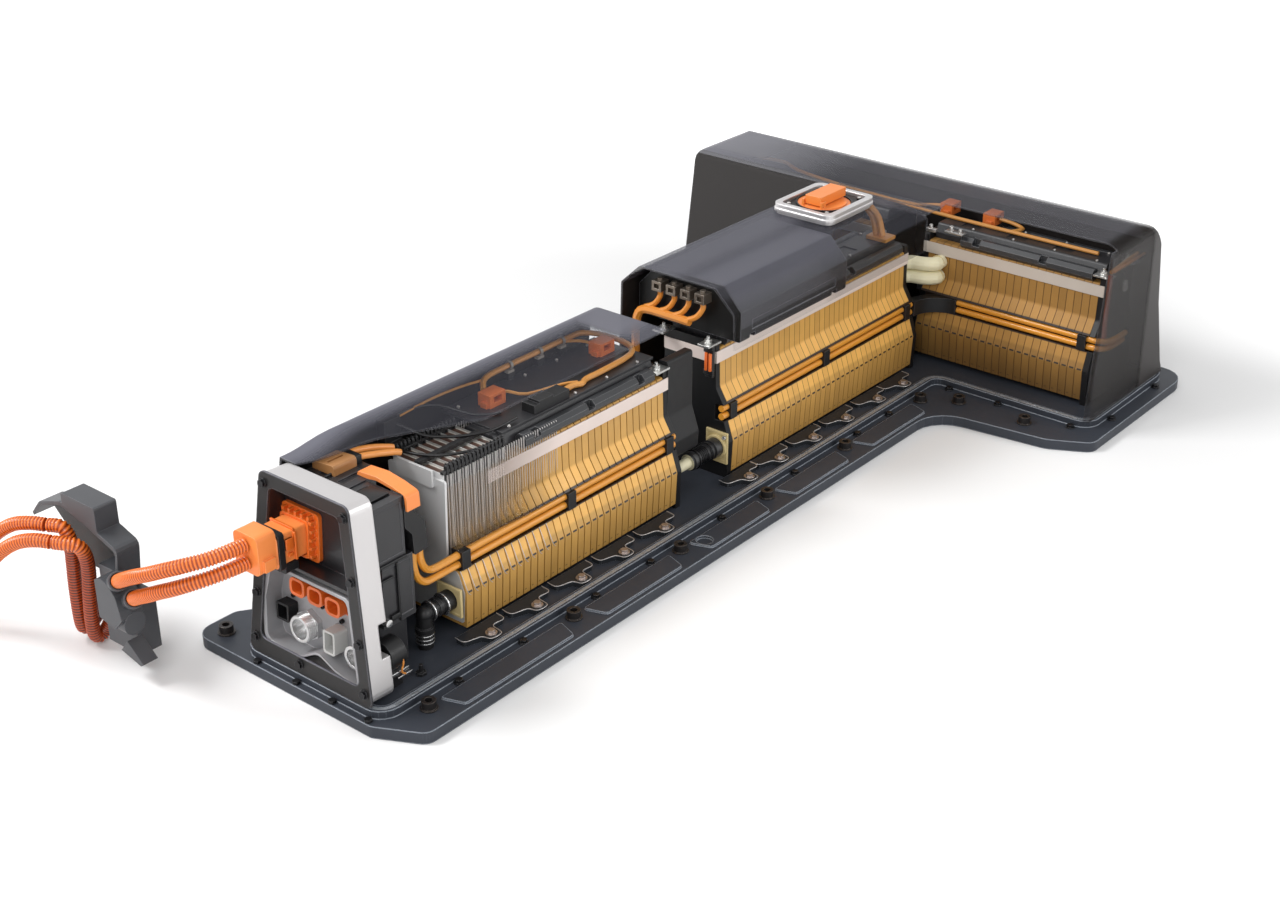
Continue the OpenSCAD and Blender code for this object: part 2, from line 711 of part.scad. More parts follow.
module data_connector() {
    color("#b9bab8") difference() {
        face_slab(mouth_depth, connector_length)
            translate(data_place) polygon(rect([22, 34], 4));
        face_slab(mouth_depth - 1, 21) translate(data_place) polygon(rect([16, 28], 3));
    }
}

module threaded_connector() {
    color("#c9c9c8") on_face(0) translate([0, threaded_place.x, threaded_place.y]) rotate([0, 90, 0])
        difference() {
            union() {
                translate([0, 0, mouth_depth])
                    cylinder(d = threaded_d, h = connector_length);
                translate([0, 0, mouth_depth + 14]) hex_head(threaded_d + 3, 9);
                for (i = [0:3]) translate([0, 0, mouth_depth + 2 + i * 3])
                    cylinder(d = threaded_d + 1.5, h = 1.5);
            }
            translate([0, 0, mouth_depth - 1]) cylinder(d = threaded_d - 8, h = 20);
        }
}

module coolant_port() {
    color("#cfcfd0") on_face(0) translate([0, port_place.x, port_place.y]) rotate([0, 90, 0])
        difference() {
            union() {
                translate([0, 0, mouth_depth + 8])
                    cylinder(d = port_d, h = connector_length - 8);
                translate([0, 0, mouth_depth + 8]) cylinder(d = port_d + 3, h = 2.5);
            }
            translate([0, 0, mouth_depth + 7]) cylinder(d = port_d - 2 * port_wall, h = 16);
        }
}

module relay_boxes() {
    color("#2a2b2e") {
        block([86, 136], [-60, 64], [floor_top, 104]);
        difference() {
            block([80, 138], [-78, -14], [104, 196]);
            block([79, 84], [-79, -60], [150, 197]);
            block([84, 134], [-79, -77], [112, 190]);
        }
        difference() {
            block([70, 126], [-78, -14], [196, 284]);
            block([74, 122], [-79, -77], [204, 276]);
            block([78, 118], [-66, -24], [282, 285]);
        }
        difference() {
            block([90, 142], [-13, 68], [104, 286]);
            block([98, 134], [0, 12], [283, 287]);
            block([98, 134], [26, 50], [284, 287]);
        }
        block([142, 160], [14, 50], [262, 284]);
    }
}

module busbar_cap() {
    color("#b5804a") difference() {
        slab_x(104, 40) polygon(rounded([[24, 286, 0], [66, 286, 0], [66, 297, 5], [24, 301, 5]], 3));
        block([110, 138], [40, 46], [295, 310]);
    }
}

module busbar_cover() {
    color("#f2823a") slab_x(127.3, 23) polygon(rounded([[6, 286.3, 0], [-14, 286.3, 4], [-30, 289, 6],
        [-60, 285.6, 6], [-79.9, 284.6, 4], [-82, 262, 0], [-85.5, 262, 0], [-84.5, 284, 6],
        [-60, 290, 8], [-30, 294.5, 8], [4, 292, 2]], 3));
}

module cable_ducts() {
    color("#28292b") {
        slab_y(-80 + 2 * gap, 22) polygon(rounded([[127, 284, 0], [143, 278, 4], [146, 252, 8],
            [162, 236, 8], [166, 192, 3], [140.5, 190, 3], [139, 222, 8], [127, 236, 4]], 3));
        mirror_y() at(duct_start, -cable_side - duct_radius, slot_bottom + gap)
            rotate_extrude(angle = 90, $fn = 48)
                translate([duct_radius - 9, 0]) square([18, slot_top - slot_bottom - 2 * gap]);
        slab_x(front_module_end + end_plate + gap, 60) polygon(rounded([[-64, 100, 6], [-38, 100, 6],
            [-34, 150, 20], [-34, 262, 4], [-52, 262, 4], [-52, 170, 20], [-66, 130, 8]], 3));
    }
}

function cell_half(inset, foot, top) = [
    [cell_lower_width / 2 - 3 - inset, foot, 0],
    [cell_lower_width / 2 - inset, module_shoulder, 6],
    [cell_lower_width / 2 - 11 - inset, slot_bottom, 0],
    [cell_lower_width / 2 - 11 - slot_depth, slot_bottom, 0],
    [cell_lower_width / 2 - 11 - slot_depth, slot_top, 0],
    [cell_lower_width / 2 - 12 - inset, slot_top, 0],
    [cell_upper_width / 2 + 2 - inset, taper_top, 12],
    [cell_upper_width / 2 - inset, top, 3]];

// A row of cell frames along the pack
module cell_row(start, count, thickness) {
    for (i = [0:count - 1])
        slab_x(start + i * cell_pitch, thickness)
            polygon(rounded(pair(cell_half(0, cell_foot, cell_top)), 2));
}

// Turns a row that runs along the pack into one that runs across it
module across(side) {
    translate([x0 + crossbar_centre, 0, 0]) rotate([0, 0, side * 90]) translate([-x0, 0, 0]) children();
}

module cell_frames_front() {
    color("#e2a548") cell_row(front_module + fin + gap, front_cells, front_frame);
}

module cell_frames_middle() {
    color("#e2a548") cell_row(middle_module + cell_gap / 2, middle_cells, middle_frame);
}

module cell_frames_right() {
    color("#b07c30") across(-1) cell_row(crossbar_gap + cell_gap / 2, crossbar_cells, middle_frame);
}

module cell_frames_left() {
    color("#b07c30") across(1) cell_row(crossbar_gap + cell_gap / 2, crossbar_cells, middle_frame);
}

module cooling_fins() {
    color("#d9d9d9") {
        for (i = [0:front_cells - 1])
            slab_x(front_module + i * cell_pitch, fin)
                polygon(rounded(pair(fin_half(i <= bare_cells ? cell_top + tab_height : cell_top - 1)), 1));
        slab_x(front_module - 4 - gap, 4) polygon(rounded(pair([[40, 104, 4], [50, 122, 6],
            [54, cell_top + 14, 3]]), 2));
        slab_x(front_module - 8 - 2 * gap, 4) polygon(rounded(pair([[34, cell_top, 2],
            [34, cell_top + 26, 2]]), 2));
    }
}

function fin_half(top) = [
    [cell_lower_width / 2 - 7, cell_foot + 6, 3],
    [cell_lower_width / 2 - 3, module_shoulder, 6],
    [cell_lower_width / 2 - 14, slot_bottom - 4, 6],
    [cell_upper_width / 2 - 2, slot_bottom - 1, 0],
    [cell_upper_width / 2 - 2, top, 2]];

module cell_tabs() {
    color("#4a352b") for (i = [0:bare_cells - 1]) mirror_y()
        block([front_module + i * cell_pitch + fin + gap, front_module + (i + 1) * cell_pitch - gap],
            [6, 46], [cell_top, cell_top + tab_height - 3]);
    color("#1f1f21") {
        block([front_module - 2, board_start - gap], [-4, 4],
            [cell_top + tab_height, cell_top + tab_height + 6]);
        mirror_y() block([front_module - 2, board_start - gap], [44, 49],
            [cell_top + tab_height, cell_top + tab_height + 4]);
    }
}

module end_outline() {
    polygon(rounded(pair(cell_half(0, floor_top, cell_top + 12)), 2));
}

module end_plates() {
    color("#1d1e20") {
        slab_x(front_module_end + gap, end_plate) end_outline();
        slab_x(middle_module - end_plate - gap, end_plate) end_outline();
        slab_x(middle_module_end + gap, end_plate) end_outline();
        for (side = [-1, 1]) across(side) {
            slab_x(crossbar_gap - end_plate - gap, end_plate) end_outline();
            slab_x(crossbar_end + gap, end_plate) end_outline();
        }
    }
}

module strap_pair(start, end) {
    mirror_y() block([start, end], [cell_upper_width / 2 + 1.1, cell_upper_width / 2 + 1.1 + strap],
        [cell_top - 3 - strap_width, cell_top - 3]);
}

module side_straps() {
    color("#ead9d2") {
        strap_pair(board_start - 40, front_module_end + end_plate);
        strap_pair(middle_module - end_plate, middle_module_end + end_plate);
        for (side = [-1, 1]) across(side) strap_pair(crossbar_gap - end_plate, crossbar_end + end_plate);
        slab_x(middle_module - end_plate - gap - strap - 0.1, strap) translate([0, cell_top - 3 - strap_width / 2])
            square([cell_upper_width, strap_width], center = true);
    }
}

module board(start, end) {
    difference() {
        slab_x(start, end - start) polygon(rounded(pair([[board_side, cell_top, 0],
            [board_side, cell_top + 10, 3], [26, board_top, 4]]), 2));
        for (s = [start + 40:90:end - 60]) block([s, s + 36], [-16, 14], [board_top - 2, board_top + 1]);
    }
}

module top_boards() {
    color("#26272a") {
        board(board_start, front_module_end - 2);
        block([board_start + 10, front_module_end - 2], [-board_side, shelf_side], [board_top, shelf_top]);
        board(middle_module + 2, middle_module_end - 2);
        for (side = [-1, 1]) across(side) board(crossbar_gap + 2, crossbar_end - 2);
    }
}

module top_rails() {
    color("#3c3e41") {
        mirror([0, 1, 0]) octagon_rail(front_module + 156, front_module_end - 24, [410, 526, 639]);
        mirror_y() octagon_rail(middle_module + 14, middle_module_end - 14, [892, 1048, 1203]);
        for (side = [-1, 1]) across(side) mirror_y()
            octagon_rail(crossbar_gap + 64, crossbar_end - 14, [145, 275]);
    }
}

module octagon_rail(start, end, notches) {
    difference() {
        slab_x(start, end - start) translate([rail_side, cell_top + rail_d / 2]) rotate(22.5)
            circle(d = rail_d / cos(22.5), $fn = 8);
        for (s = notches)
            block([s - 7, s + 7], [rail_side - 1, rail_side + 20], [cell_top + 10, cell_top + 40]);
    }
}

// Keeps a piece of a crossbar module on the side that faces the front
module front_side(side) {
    if (side < 0) mirror([0, 1, 0]) children();
    else children();
}

module channel_run(start, end) {
    rod_x(start, cable_side, cable_low, cable_d, end - start);
    rod_x(start, cable_side, cable_high, cable_d, end - start);
}

module channel_cables() {
    color("#eb8a2c") {
        mirror_y() {
            channel_run(front_module + 2, front_module_end + end_plate);
            channel_run(middle_module - end_plate, middle_module_end + end_plate - gap);
        }
        for (side = [-1, 1]) across(side) front_side(side)
            channel_run(cable_side + duct_radius, crossbar_end + end_plate);
        cable([[147, -68, 189.6], [147.5, -68, 168], [153, -67, 148], [168, -64.5, 132], [188, -63, cable_low],
            [front_module + 8, -cable_side, cable_low]], cable_d - 0.4);
        cable([[159.5, -68, 189.6], [160, -68, 174], [166, -67, 158], [177, -64.5, 146.5], [194, -63, cable_high],
            [front_module + 8, -cable_side, cable_high]], cable_d - 0.4);
    }
}

module clip(s) {
    difference() {
        block([s, s + 16], [cell_lower_width / 2 - 11 - slot_depth + gap, cable_side + cable_d / 2 + 4],
            [slot_bottom + gap, slot_top - gap]);
        rod_x(s - 1, cable_side, cable_low, cable_d + 2 * gap, 18);
        rod_x(s - 1, cable_side, cable_high, cable_d + 2 * gap, 18);
    }
}

module cable_clips() {
    color("#2b2c2e") {
        mirror_y() for (s = [234, 452, front_module_end - 16, middle_module + 4, 1100, middle_module_end - 20])
            clip(s);
        for (side = [-1, 1]) across(side) front_side(side) clip(crossbar_end - 20);
    }
}

module front_harness() {
    z = shelf_top + harness_d / 2 + gap;
    high = harness_high;
    color("#e08a35") {
        cable([[424, 62, high - 8], [440, 76, high - 2], [470, 80, high], [560, 80, high], [630, 80, high],
            [658, 76, high - 1], [680, 50, high - 6], [688, 12, z + 4], [668, -8, z], [600, -14, z],
            [560, -14, z], [544, -20, z], [530, -14, z], [505, -16, z]], harness_d);
        cable([[264, 74, high + 4], [330, 80, high + 4], [390, 80, high + 2], [440, 76, high - 2]], 4, 6);
        cable([[436.6, 40, z + 8.5], [447, 36, z + 6], [470, 20, z - 1.5], [525, 4, z - 1.5], [546, -10, z - 1]], 5, 6);
        cable([[600, 80, high], [632, 76, high - 6], [648, 64, z + 8], [652, 51, z + 5]], 5, 6);
    }
}

module connector_block(s, y, z) {
    block([s - 16, s + 16], [y - 12, y + 12], [z, z + 20]);
    block([s - 20, s + 20], [y - 8, y + 4], [z, z + 8]);
}

module socket_block(s, y, z) {
    difference() {
        connector_block(s, y, z);
        block([s - 8, s + 8], [y - 13, y + 4], [z + 7, z + 16]);
    }
}

module harness_connectors() {
    color("#dd6a2c") {
        socket_block(420, 42, shelf_top);
        socket_block(656, 38, shelf_top);
        for (y = [-40, -128]) socket_block(1540, y, board_top);
    }
}

module harness_ties() {
    color("#e9e6e0") for (s = harness_tie_stations)
        at(s, 80, harness_high) rotate([0, 90, 0]) difference() {
            cylinder(d = harness_d + 5, h = 5);
            translate([0, 0, -1]) cylinder(d = harness_d + 2, h = 7);
        }
    color("#232427") for (s = harness_tie_stations)
        block([s - 4, s + 9], [76, 84], [shelf_top, harness_high - harness_d / 2 - 2.6]);
}

module board_connector() {
    color("#202124") {
        block([430, 504], [-31, -6], [shelf_top, shelf_top + 14]);
        block([440, 470], [-31, -8], [shelf_top + 14, shelf_top + 18]);
        block([244, 264], [40, 82], [cell_top + tab_height + 4, cell_top + tab_height + 6]);
        block([234, 264], [66, 82], [cell_top + tab_height + 6, harness_high + 10]);
    }
}

module lug(s, y) {
    block([s, s + 32], [y - 10, y + 12], [cell_top + 12, cell_top + 15]);
    at(s + 14, y, cell_top + 15) {
        cylinder(d = 13, h = 2);
        translate([0, 0, 2]) hex_head(10, 4);
        cylinder(d = 5, h = 11);
    }
}

module lug_plates() {
    color("#c8c6c2") {
        mirror_y() {
            lug(front_module_end - 22, 44);
            lug(middle_module - 36, 44);
        }
        for (side = [-1, 1]) across(side) mirror_y() lug(crossbar_end - 12, 44);
    }
}

module electronics_box() {
    color("#3b3d41") difference() {
        slab_x(box_start, box_end - box_start) polygon(rounded(pair([[100, board_top, 4], [100, 316, 3],
            [66, 352, 3]]), 2));
        mirror_y() block([box_start + 30, box_end - 30], [98.5, 110], [board_top + 14, board_top + 30]);
        mirror_y() for (s = [box_start + 24, box_end - 40]) block([s, s + 14], [90, 110], [board_top - 1, board_top + 8]);
    }
}

module terminal_blocks() {
    color("#b9b6b0") for (y = terminal_sides) difference() {
        union() {
            block([box_start - 20, box_start], [y - 9, y + 9], [320, 336]);
            at(box_start - 10, y, 336) cylinder(d = 9, h = 4);
        }
        block([box_start - 21, box_start - 12], [y - 5, y + 5], [324, 332]);
    }
}

module box_leads() {
    color("#e07a28") {
        for (y = terminal_sides)
            cable([[box_start - 10, y, 318.8], [box_start - 10, y, 309], [box_start - 13, y + 10, 294],
                [box_start - 16, y + 26, 286]], harness_d);
        cable([[box_start - 16, -14, 284], [box_start - 16, 30, 284], [box_start - 18, 70, 284],
            [box_start - 22, 84, 276], [box_start - 24, 88, 250], [box_start - 24, 88, 210]], 14);
    }
}

module rear_harness() {
    z = board_top + 3.8;
    color("#c9803a") {
        cable([[1548, 395, z + 8], [1556, 340, z + 8], [1546, 300, z + 2], [1532, 200, z], [1526, 110, z],
            [1516, 20, z], [1511, -60, z], [1510, -160, z], [1510, -290, z], [1510, -350, z]], 7);
        cable([[1540, -141.2, z + 6], [1544, -164, z + 3], [1536, -190, z], [1512, -182, z]], 7);
        cable([[1540, -26.8, z + 6], [1542, -8, z + 3], [1532, 20, z], [1524, 60, z], [1526, 90, z]], 6);
        cable([[1462, -crossbar_end - end_plate - 5, 262], [1560, -crossbar_end - end_plate - 5, 268]], 7, 8);
    }
}

module disconnect_rim(extra, z, height) {
    translate([x0 + disconnect_station, 0, z]) linear_extrude(height)
        polygon(rect([disconnect_length + extra, disconnect_width + extra], 14));
}

module disconnect_frame() {
    color("#c9c9ca") difference() {
        union() {
            disconnect_rim(-2, disconnect_top - 9, 9);
            disconnect_rim(0, disconnect_top - 13, 5);
            disconnect_rim(-6, hump_roof, disconnect_top - hump_roof - 4);
        }
        translate([x0 + disconnect_station, 0, hump_roof - 1]) linear_extrude(60)
            polygon(rect([disconnect_length - 22, disconnect_width - 22], 10));
    }
}

module disconnect_socket() {
    color("#1b1c1e") difference() {
        union() {
            translate([x0 + disconnect_station, 0, hump_roof - 16]) linear_extrude(28)
                polygon(rect([disconnect_length - 22 - 2 * gap, disconnect_width - 22 - 2 * gap], 10));
            for (x = [-48, 48], y = [-38, 38])
                at(disconnect_station + x, y, hump_roof + 12) cylinder(d = 9, h = 3);
        }
        at(disconnect_station, 0, hump_roof - 8) cylinder(d = plug_d + 2 * gap, h = 60, $fn = 64);
    }
}

module service_plug() {
    plug_foot = hump_roof - 8 + gap;
    color("#ef6a28") difference() {
        at(disconnect_station, 0, plug_foot) {
            cylinder(d = plug_d, h = 20, $fn = 64);
            cylinder(d = plug_d - 12, h = 22, $fn = 64);
            for (y = [-20, 16]) translate([-36, y, 20]) cube([12, 4, 12]);
        }
        at(disconnect_station, 0, 0) translate([-30, -30, lever_z]) rotate([-90, 0, 0])
            cylinder(d = 5 + 2 * gap, h = 60);
    }
}

module service_lever() {
    color("#f47a38") translate([x0 + disconnect_station - 30, 0, lever_z]) rotate([0, -lever_turn, 0]) {
        rotate([90, 0, 0]) cylinder(d = 5, h = 41, center = true);
        difference() {
            translate([-3, -15.5, -1.5]) cube([74, 31, 15]);
            translate([4, -10, -3]) cube([58, 20, 12]);
        }
    }
}

module disconnect_cables() {
    color("#e08a35") for (i = [0, 1])
        cable([[1262, 22 - i * 16, 340], [1290, 20 - i * 15, 342], [1320, 12 - i * 13, 332],
            [1340, 0 - i * 12, 306], [1344, -8 - i * 12, 272]], 12);
    color("#232426") block([1330, 1362], [-36, 4], [board_top, 272]);
}

module coolant_elbow() {
    color("#ddd8bd") rod_x(front_module - 20, -56, 76, 30, 20 - gap);
    color("#1f2022") {
        for (i = [0:4]) rod_x(front_module - 26 - i * 6, -56, 76, i % 2 == 0 ? 28 : 24, 6);
        at(front_module - 58, -56, 76) {
            rotate([0, 90, 0]) cylinder(d = 22, h = 8);
            sphere(d = 23);
            translate([0, 0, floor_top - 76]) cylinder(d = 22, h = 76 - floor_top);
            translate([0, 0, -26]) cylinder(d = 27, h = 7);
        }
    }
}

module coolant_link() {
    start = front_module_end + gap + end_plate;
    end = middle_module - end_plate - gap;
    color("#ded9c0") {
        rod_x(start, -58, 77, 18, end - start - 30);
        rod_x(end - 22, -58, 77, 32, 22);
    }
    color("#202123") {
        rod_x(end - 78, -58, 77, 26, 56);
        for (s = [end - 74, end - 34]) rod_x(s, -58, 77, 30, 7);
    }
}

module coolant_bends() {
    start = middle_module_end + gap + end_plate;
    color("#e3dcb8") for (p = coolant_bend_ends) {
        rod_x(start, -26, p.x, 25.6, 9);
        cable([[start + 5, -26, p.x], [start + 16, -27, p.x], [start + 34, -38, p.x],
            [start + 42, -62, p.x], [start + 54, -77, p.x], [p.y, -78, p.x]], 25, 12, 3);
    }
}

module tray_fittings() {
    color("#a58a58") at(120, -100, floor_top) {
        hex_head(13, 5);
        cylinder(d = 6, h = 16);
    }
    color("#202023") {
        rod_x(66, -84, 72, 44, 26);
        block([68, 90], [-96, -72], [floor_top, 52]);
    }
}

module conduit_front_upper() {
    color("#e8632a") cable(front_upper_route, conduit_d, 10, 3);
}

module conduit_front_lower() {
    color("#e8632a") cable(front_lower_route, conduit_d, 10, 3);
}

module conduit_rear_upper() {
    color("#e8632a") cable(rear_upper_route, conduit_d, 10, 2);
}

module conduit_rear_lower() {
    color("#e8632a") cable(rear_lower_route, conduit_d, 10, 2);
}

module conduit_loops() {
    color("#a8431f") {
        cable(loop_right, conduit_d, 12, 3);
        cable(loop_left, conduit_d, 12, 3);
    }
}

// Collar that a front conduit ends in
module conduit_collar(end) {
    at(end.x, end.y, end.z) rotate(collar_turn) difference() {
        translate([0, 0, -6]) cylinder(d = conduit_d + 7, h = 30);
        translate([0, 0, -7]) cylinder(d = conduit_d + 7 * gap, h = 7 + gap);
    }
}

module conduit_bracket() {
    color("#3d3e42") {
        slab_x(-98, 36) polygon(rounded([[421, 182, 1], [400, 206, 10], [350, 223, 14],
            [300, 211, 0], [232, 189, 10], [238, 142, 8], [256, 112, 0], [262, 112, 0],
            [243, 146, 8], [237, 184, 8], [300, 205, 0], [349, 217, 14], [396, 202, 8],
            [418, 178, 1]], 3));
        slab_x(-66, 4) polygon([[418, 180], [396, 203], [349, 219], [300, 207], [236, 186],
            [241, 144], [258, 112], [376, 112], [384, 150]]);
        slab_x(-98, 36) polygon(rounded([[272, 201, 0], [345, 216, 0], [345, 238, 3], [272, 238, 3]], 2));
        block([-93, -57], [220, 287], [28, 115]);
        block([-93, -57], [250.6, 287], [115, 148]);
        slab_x(-124, 36) polygon(rounded([[204, 104, 3], [212, 136, 3], [224, 150, 3], [240, 156, 4],
            [254, 150, 3], [254, 92, 3], [222, 84, 3]], 2));
        conduit_collar(front_upper_end);
        conduit_collar(front_lower_end);
        rod_y(-104, 204, 92, 34, 18);
        slab_x(-110, 24) polygon([[220, 60], [190, 34], [196, 30], [236, 40]]);
    }
}

module conduit_fitting() {
    color("#2c2d30") {
        slab_x(fitting_station - 56, 56) translate([fitting_y, 14]) polygon(rect([64, 28], 6));
        slab_x(fitting_station - 76, 20) translate([fitting_y, 14]) polygon(rect([50, 22], 4));
    }
}

tray();
cover_gasket();
front_cover();
rear_cover();
cover_bolts();
mount_bushings();
module_brackets();
bracket_bolts();
connector_housing();
connector_panel();
header_bowl();
power_header();
auxiliary_sockets();
signal_connector();
data_connector();
threaded_connector();
coolant_port();
power_plug();
plug_strap();
relay_boxes();
busbar_cap();
busbar_cover();
cable_ducts();
cell_frames_front();
cell_frames_middle();
cell_frames_right();
cell_frames_left();
cooling_fins();
cell_tabs();
end_plates();
side_straps();
top_boards();
top_rails();
channel_cables();
cable_clips();
front_harness();
harness_connectors();
harness_ties();
board_connector();
lug_plates();
electronics_box();
terminal_blocks();
box_leads();
rear_harness();
disconnect_frame();
disconnect_socket();
service_plug();
service_lever();
disconnect_cables();
coolant_elbow();
coolant_link();
coolant_bends();
tray_fittings();
conduit_front_upper();
conduit_front_lower();
conduit_rear_upper();
conduit_rear_lower();
conduit_loops();
conduit_bracket();
conduit_fitting();
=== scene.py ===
"""Looks of the T-shaped traction battery pack: camera, light, cables, materials and fine detail."""

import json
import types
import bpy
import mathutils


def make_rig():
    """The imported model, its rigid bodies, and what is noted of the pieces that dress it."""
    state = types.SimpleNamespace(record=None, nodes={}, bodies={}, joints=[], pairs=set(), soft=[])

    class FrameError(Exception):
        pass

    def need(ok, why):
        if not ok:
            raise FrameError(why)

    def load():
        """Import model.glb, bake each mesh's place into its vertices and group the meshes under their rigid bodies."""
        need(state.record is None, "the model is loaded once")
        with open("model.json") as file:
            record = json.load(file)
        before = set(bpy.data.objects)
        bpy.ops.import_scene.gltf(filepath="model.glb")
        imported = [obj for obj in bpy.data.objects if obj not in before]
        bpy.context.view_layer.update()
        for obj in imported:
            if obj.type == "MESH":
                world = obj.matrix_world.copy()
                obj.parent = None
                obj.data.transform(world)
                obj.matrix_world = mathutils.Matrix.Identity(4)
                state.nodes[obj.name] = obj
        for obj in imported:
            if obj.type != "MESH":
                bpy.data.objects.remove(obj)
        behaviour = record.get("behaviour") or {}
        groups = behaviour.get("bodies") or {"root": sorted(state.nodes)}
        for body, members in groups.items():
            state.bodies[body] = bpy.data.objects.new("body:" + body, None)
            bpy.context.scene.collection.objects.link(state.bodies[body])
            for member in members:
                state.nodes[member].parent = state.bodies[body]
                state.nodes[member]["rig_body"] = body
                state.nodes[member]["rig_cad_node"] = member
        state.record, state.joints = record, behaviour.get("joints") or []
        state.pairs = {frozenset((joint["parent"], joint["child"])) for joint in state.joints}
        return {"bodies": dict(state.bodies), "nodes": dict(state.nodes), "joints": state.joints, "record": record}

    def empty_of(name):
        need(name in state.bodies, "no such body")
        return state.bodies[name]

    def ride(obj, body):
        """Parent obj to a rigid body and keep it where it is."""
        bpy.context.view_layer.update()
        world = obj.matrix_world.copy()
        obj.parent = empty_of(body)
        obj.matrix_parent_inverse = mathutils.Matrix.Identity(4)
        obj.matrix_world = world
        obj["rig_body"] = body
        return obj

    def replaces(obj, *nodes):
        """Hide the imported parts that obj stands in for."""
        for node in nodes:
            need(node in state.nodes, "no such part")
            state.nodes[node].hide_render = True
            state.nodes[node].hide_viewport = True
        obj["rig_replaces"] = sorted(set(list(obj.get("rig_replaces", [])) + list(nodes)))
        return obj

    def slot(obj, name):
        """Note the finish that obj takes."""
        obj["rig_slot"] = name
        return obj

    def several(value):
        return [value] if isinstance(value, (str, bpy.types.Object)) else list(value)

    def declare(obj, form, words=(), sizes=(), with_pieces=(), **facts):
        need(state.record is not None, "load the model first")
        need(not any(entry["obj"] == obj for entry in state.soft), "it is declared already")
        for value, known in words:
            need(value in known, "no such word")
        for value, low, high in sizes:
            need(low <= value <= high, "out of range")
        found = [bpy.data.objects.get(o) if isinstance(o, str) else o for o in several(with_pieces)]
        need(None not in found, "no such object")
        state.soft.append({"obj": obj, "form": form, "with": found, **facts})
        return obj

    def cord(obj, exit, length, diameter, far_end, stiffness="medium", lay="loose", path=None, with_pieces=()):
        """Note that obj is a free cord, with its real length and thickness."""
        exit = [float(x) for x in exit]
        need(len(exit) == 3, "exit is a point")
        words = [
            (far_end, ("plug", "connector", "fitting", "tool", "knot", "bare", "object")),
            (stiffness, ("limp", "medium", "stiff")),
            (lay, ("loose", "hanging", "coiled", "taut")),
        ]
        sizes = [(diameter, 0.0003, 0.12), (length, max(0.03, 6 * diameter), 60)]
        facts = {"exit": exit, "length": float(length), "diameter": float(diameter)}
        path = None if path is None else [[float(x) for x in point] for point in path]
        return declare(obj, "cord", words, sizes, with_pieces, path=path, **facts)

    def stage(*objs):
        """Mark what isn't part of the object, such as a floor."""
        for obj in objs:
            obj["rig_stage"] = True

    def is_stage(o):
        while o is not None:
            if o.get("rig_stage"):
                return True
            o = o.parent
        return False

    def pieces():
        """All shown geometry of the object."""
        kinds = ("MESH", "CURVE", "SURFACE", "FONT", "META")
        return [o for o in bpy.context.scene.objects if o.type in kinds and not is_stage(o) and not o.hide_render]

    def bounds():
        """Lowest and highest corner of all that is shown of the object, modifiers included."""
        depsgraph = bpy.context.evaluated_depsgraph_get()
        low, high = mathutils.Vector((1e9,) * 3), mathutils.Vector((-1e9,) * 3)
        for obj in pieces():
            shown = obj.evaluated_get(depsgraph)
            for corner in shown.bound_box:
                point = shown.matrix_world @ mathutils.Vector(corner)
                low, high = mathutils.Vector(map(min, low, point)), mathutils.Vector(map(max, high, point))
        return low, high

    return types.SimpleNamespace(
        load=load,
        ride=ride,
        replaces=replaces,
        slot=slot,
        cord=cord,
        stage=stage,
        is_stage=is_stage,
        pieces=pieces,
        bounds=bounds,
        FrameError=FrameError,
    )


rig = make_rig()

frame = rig.load()

import json
import math
import bpy
from mathutils import Vector

SCENE = bpy.context.scene
NODES = frame["nodes"]
CAD_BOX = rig.bounds()

# Stations count in millimetres from the tray's front edge, and the frame's origin is at this one.
# Pieces are placed by station, left and height in millimetres, while materials measure in metres.
ORIGIN_STATION = 840
CELL_PITCH = 0.0145
EDGE_ANGLE = math.radians(35)
SMOOTH_ANGLE = math.radians(38)
TUBE_SHARP_ANGLE = math.radians(50)


def station(s):
    """X in metres of a station in millimetres."""
    return (s - ORIGIN_STATION) / 1000


def linear(rgb):
    """Linear colour of an sRGB triple."""
    return tuple(c / 12.92 if c <= 0.04045 else ((c + 0.055) / 1.055) ** 2.4 for c in rgb) + (1.0,)


def row(p):
    """Station, left and height in millimetres to a point in the row frame in metres."""
    return Vector((station(p[0]), p[1] / 1000, p[2] / 1000))


# Camera, fitted to the photograph: the degrees that it looks down, and to the left of straight back
LOOK_DOWN, LOOK_LEFT = 27.0709, 39.3245
camera = bpy.data.objects.new("camera", bpy.data.cameras.new("camera"))
SCENE.collection.objects.link(camera)
camera.data.lens = 52.58
camera.data.sensor_width = 36
camera.data.clip_end = 60
camera.location = (-2.1473, -1.6454, 1.416)
camera.rotation_euler = (math.radians(90 - LOOK_DOWN), 0, math.radians(LOOK_LEFT - 90))
SCENE.camera = camera


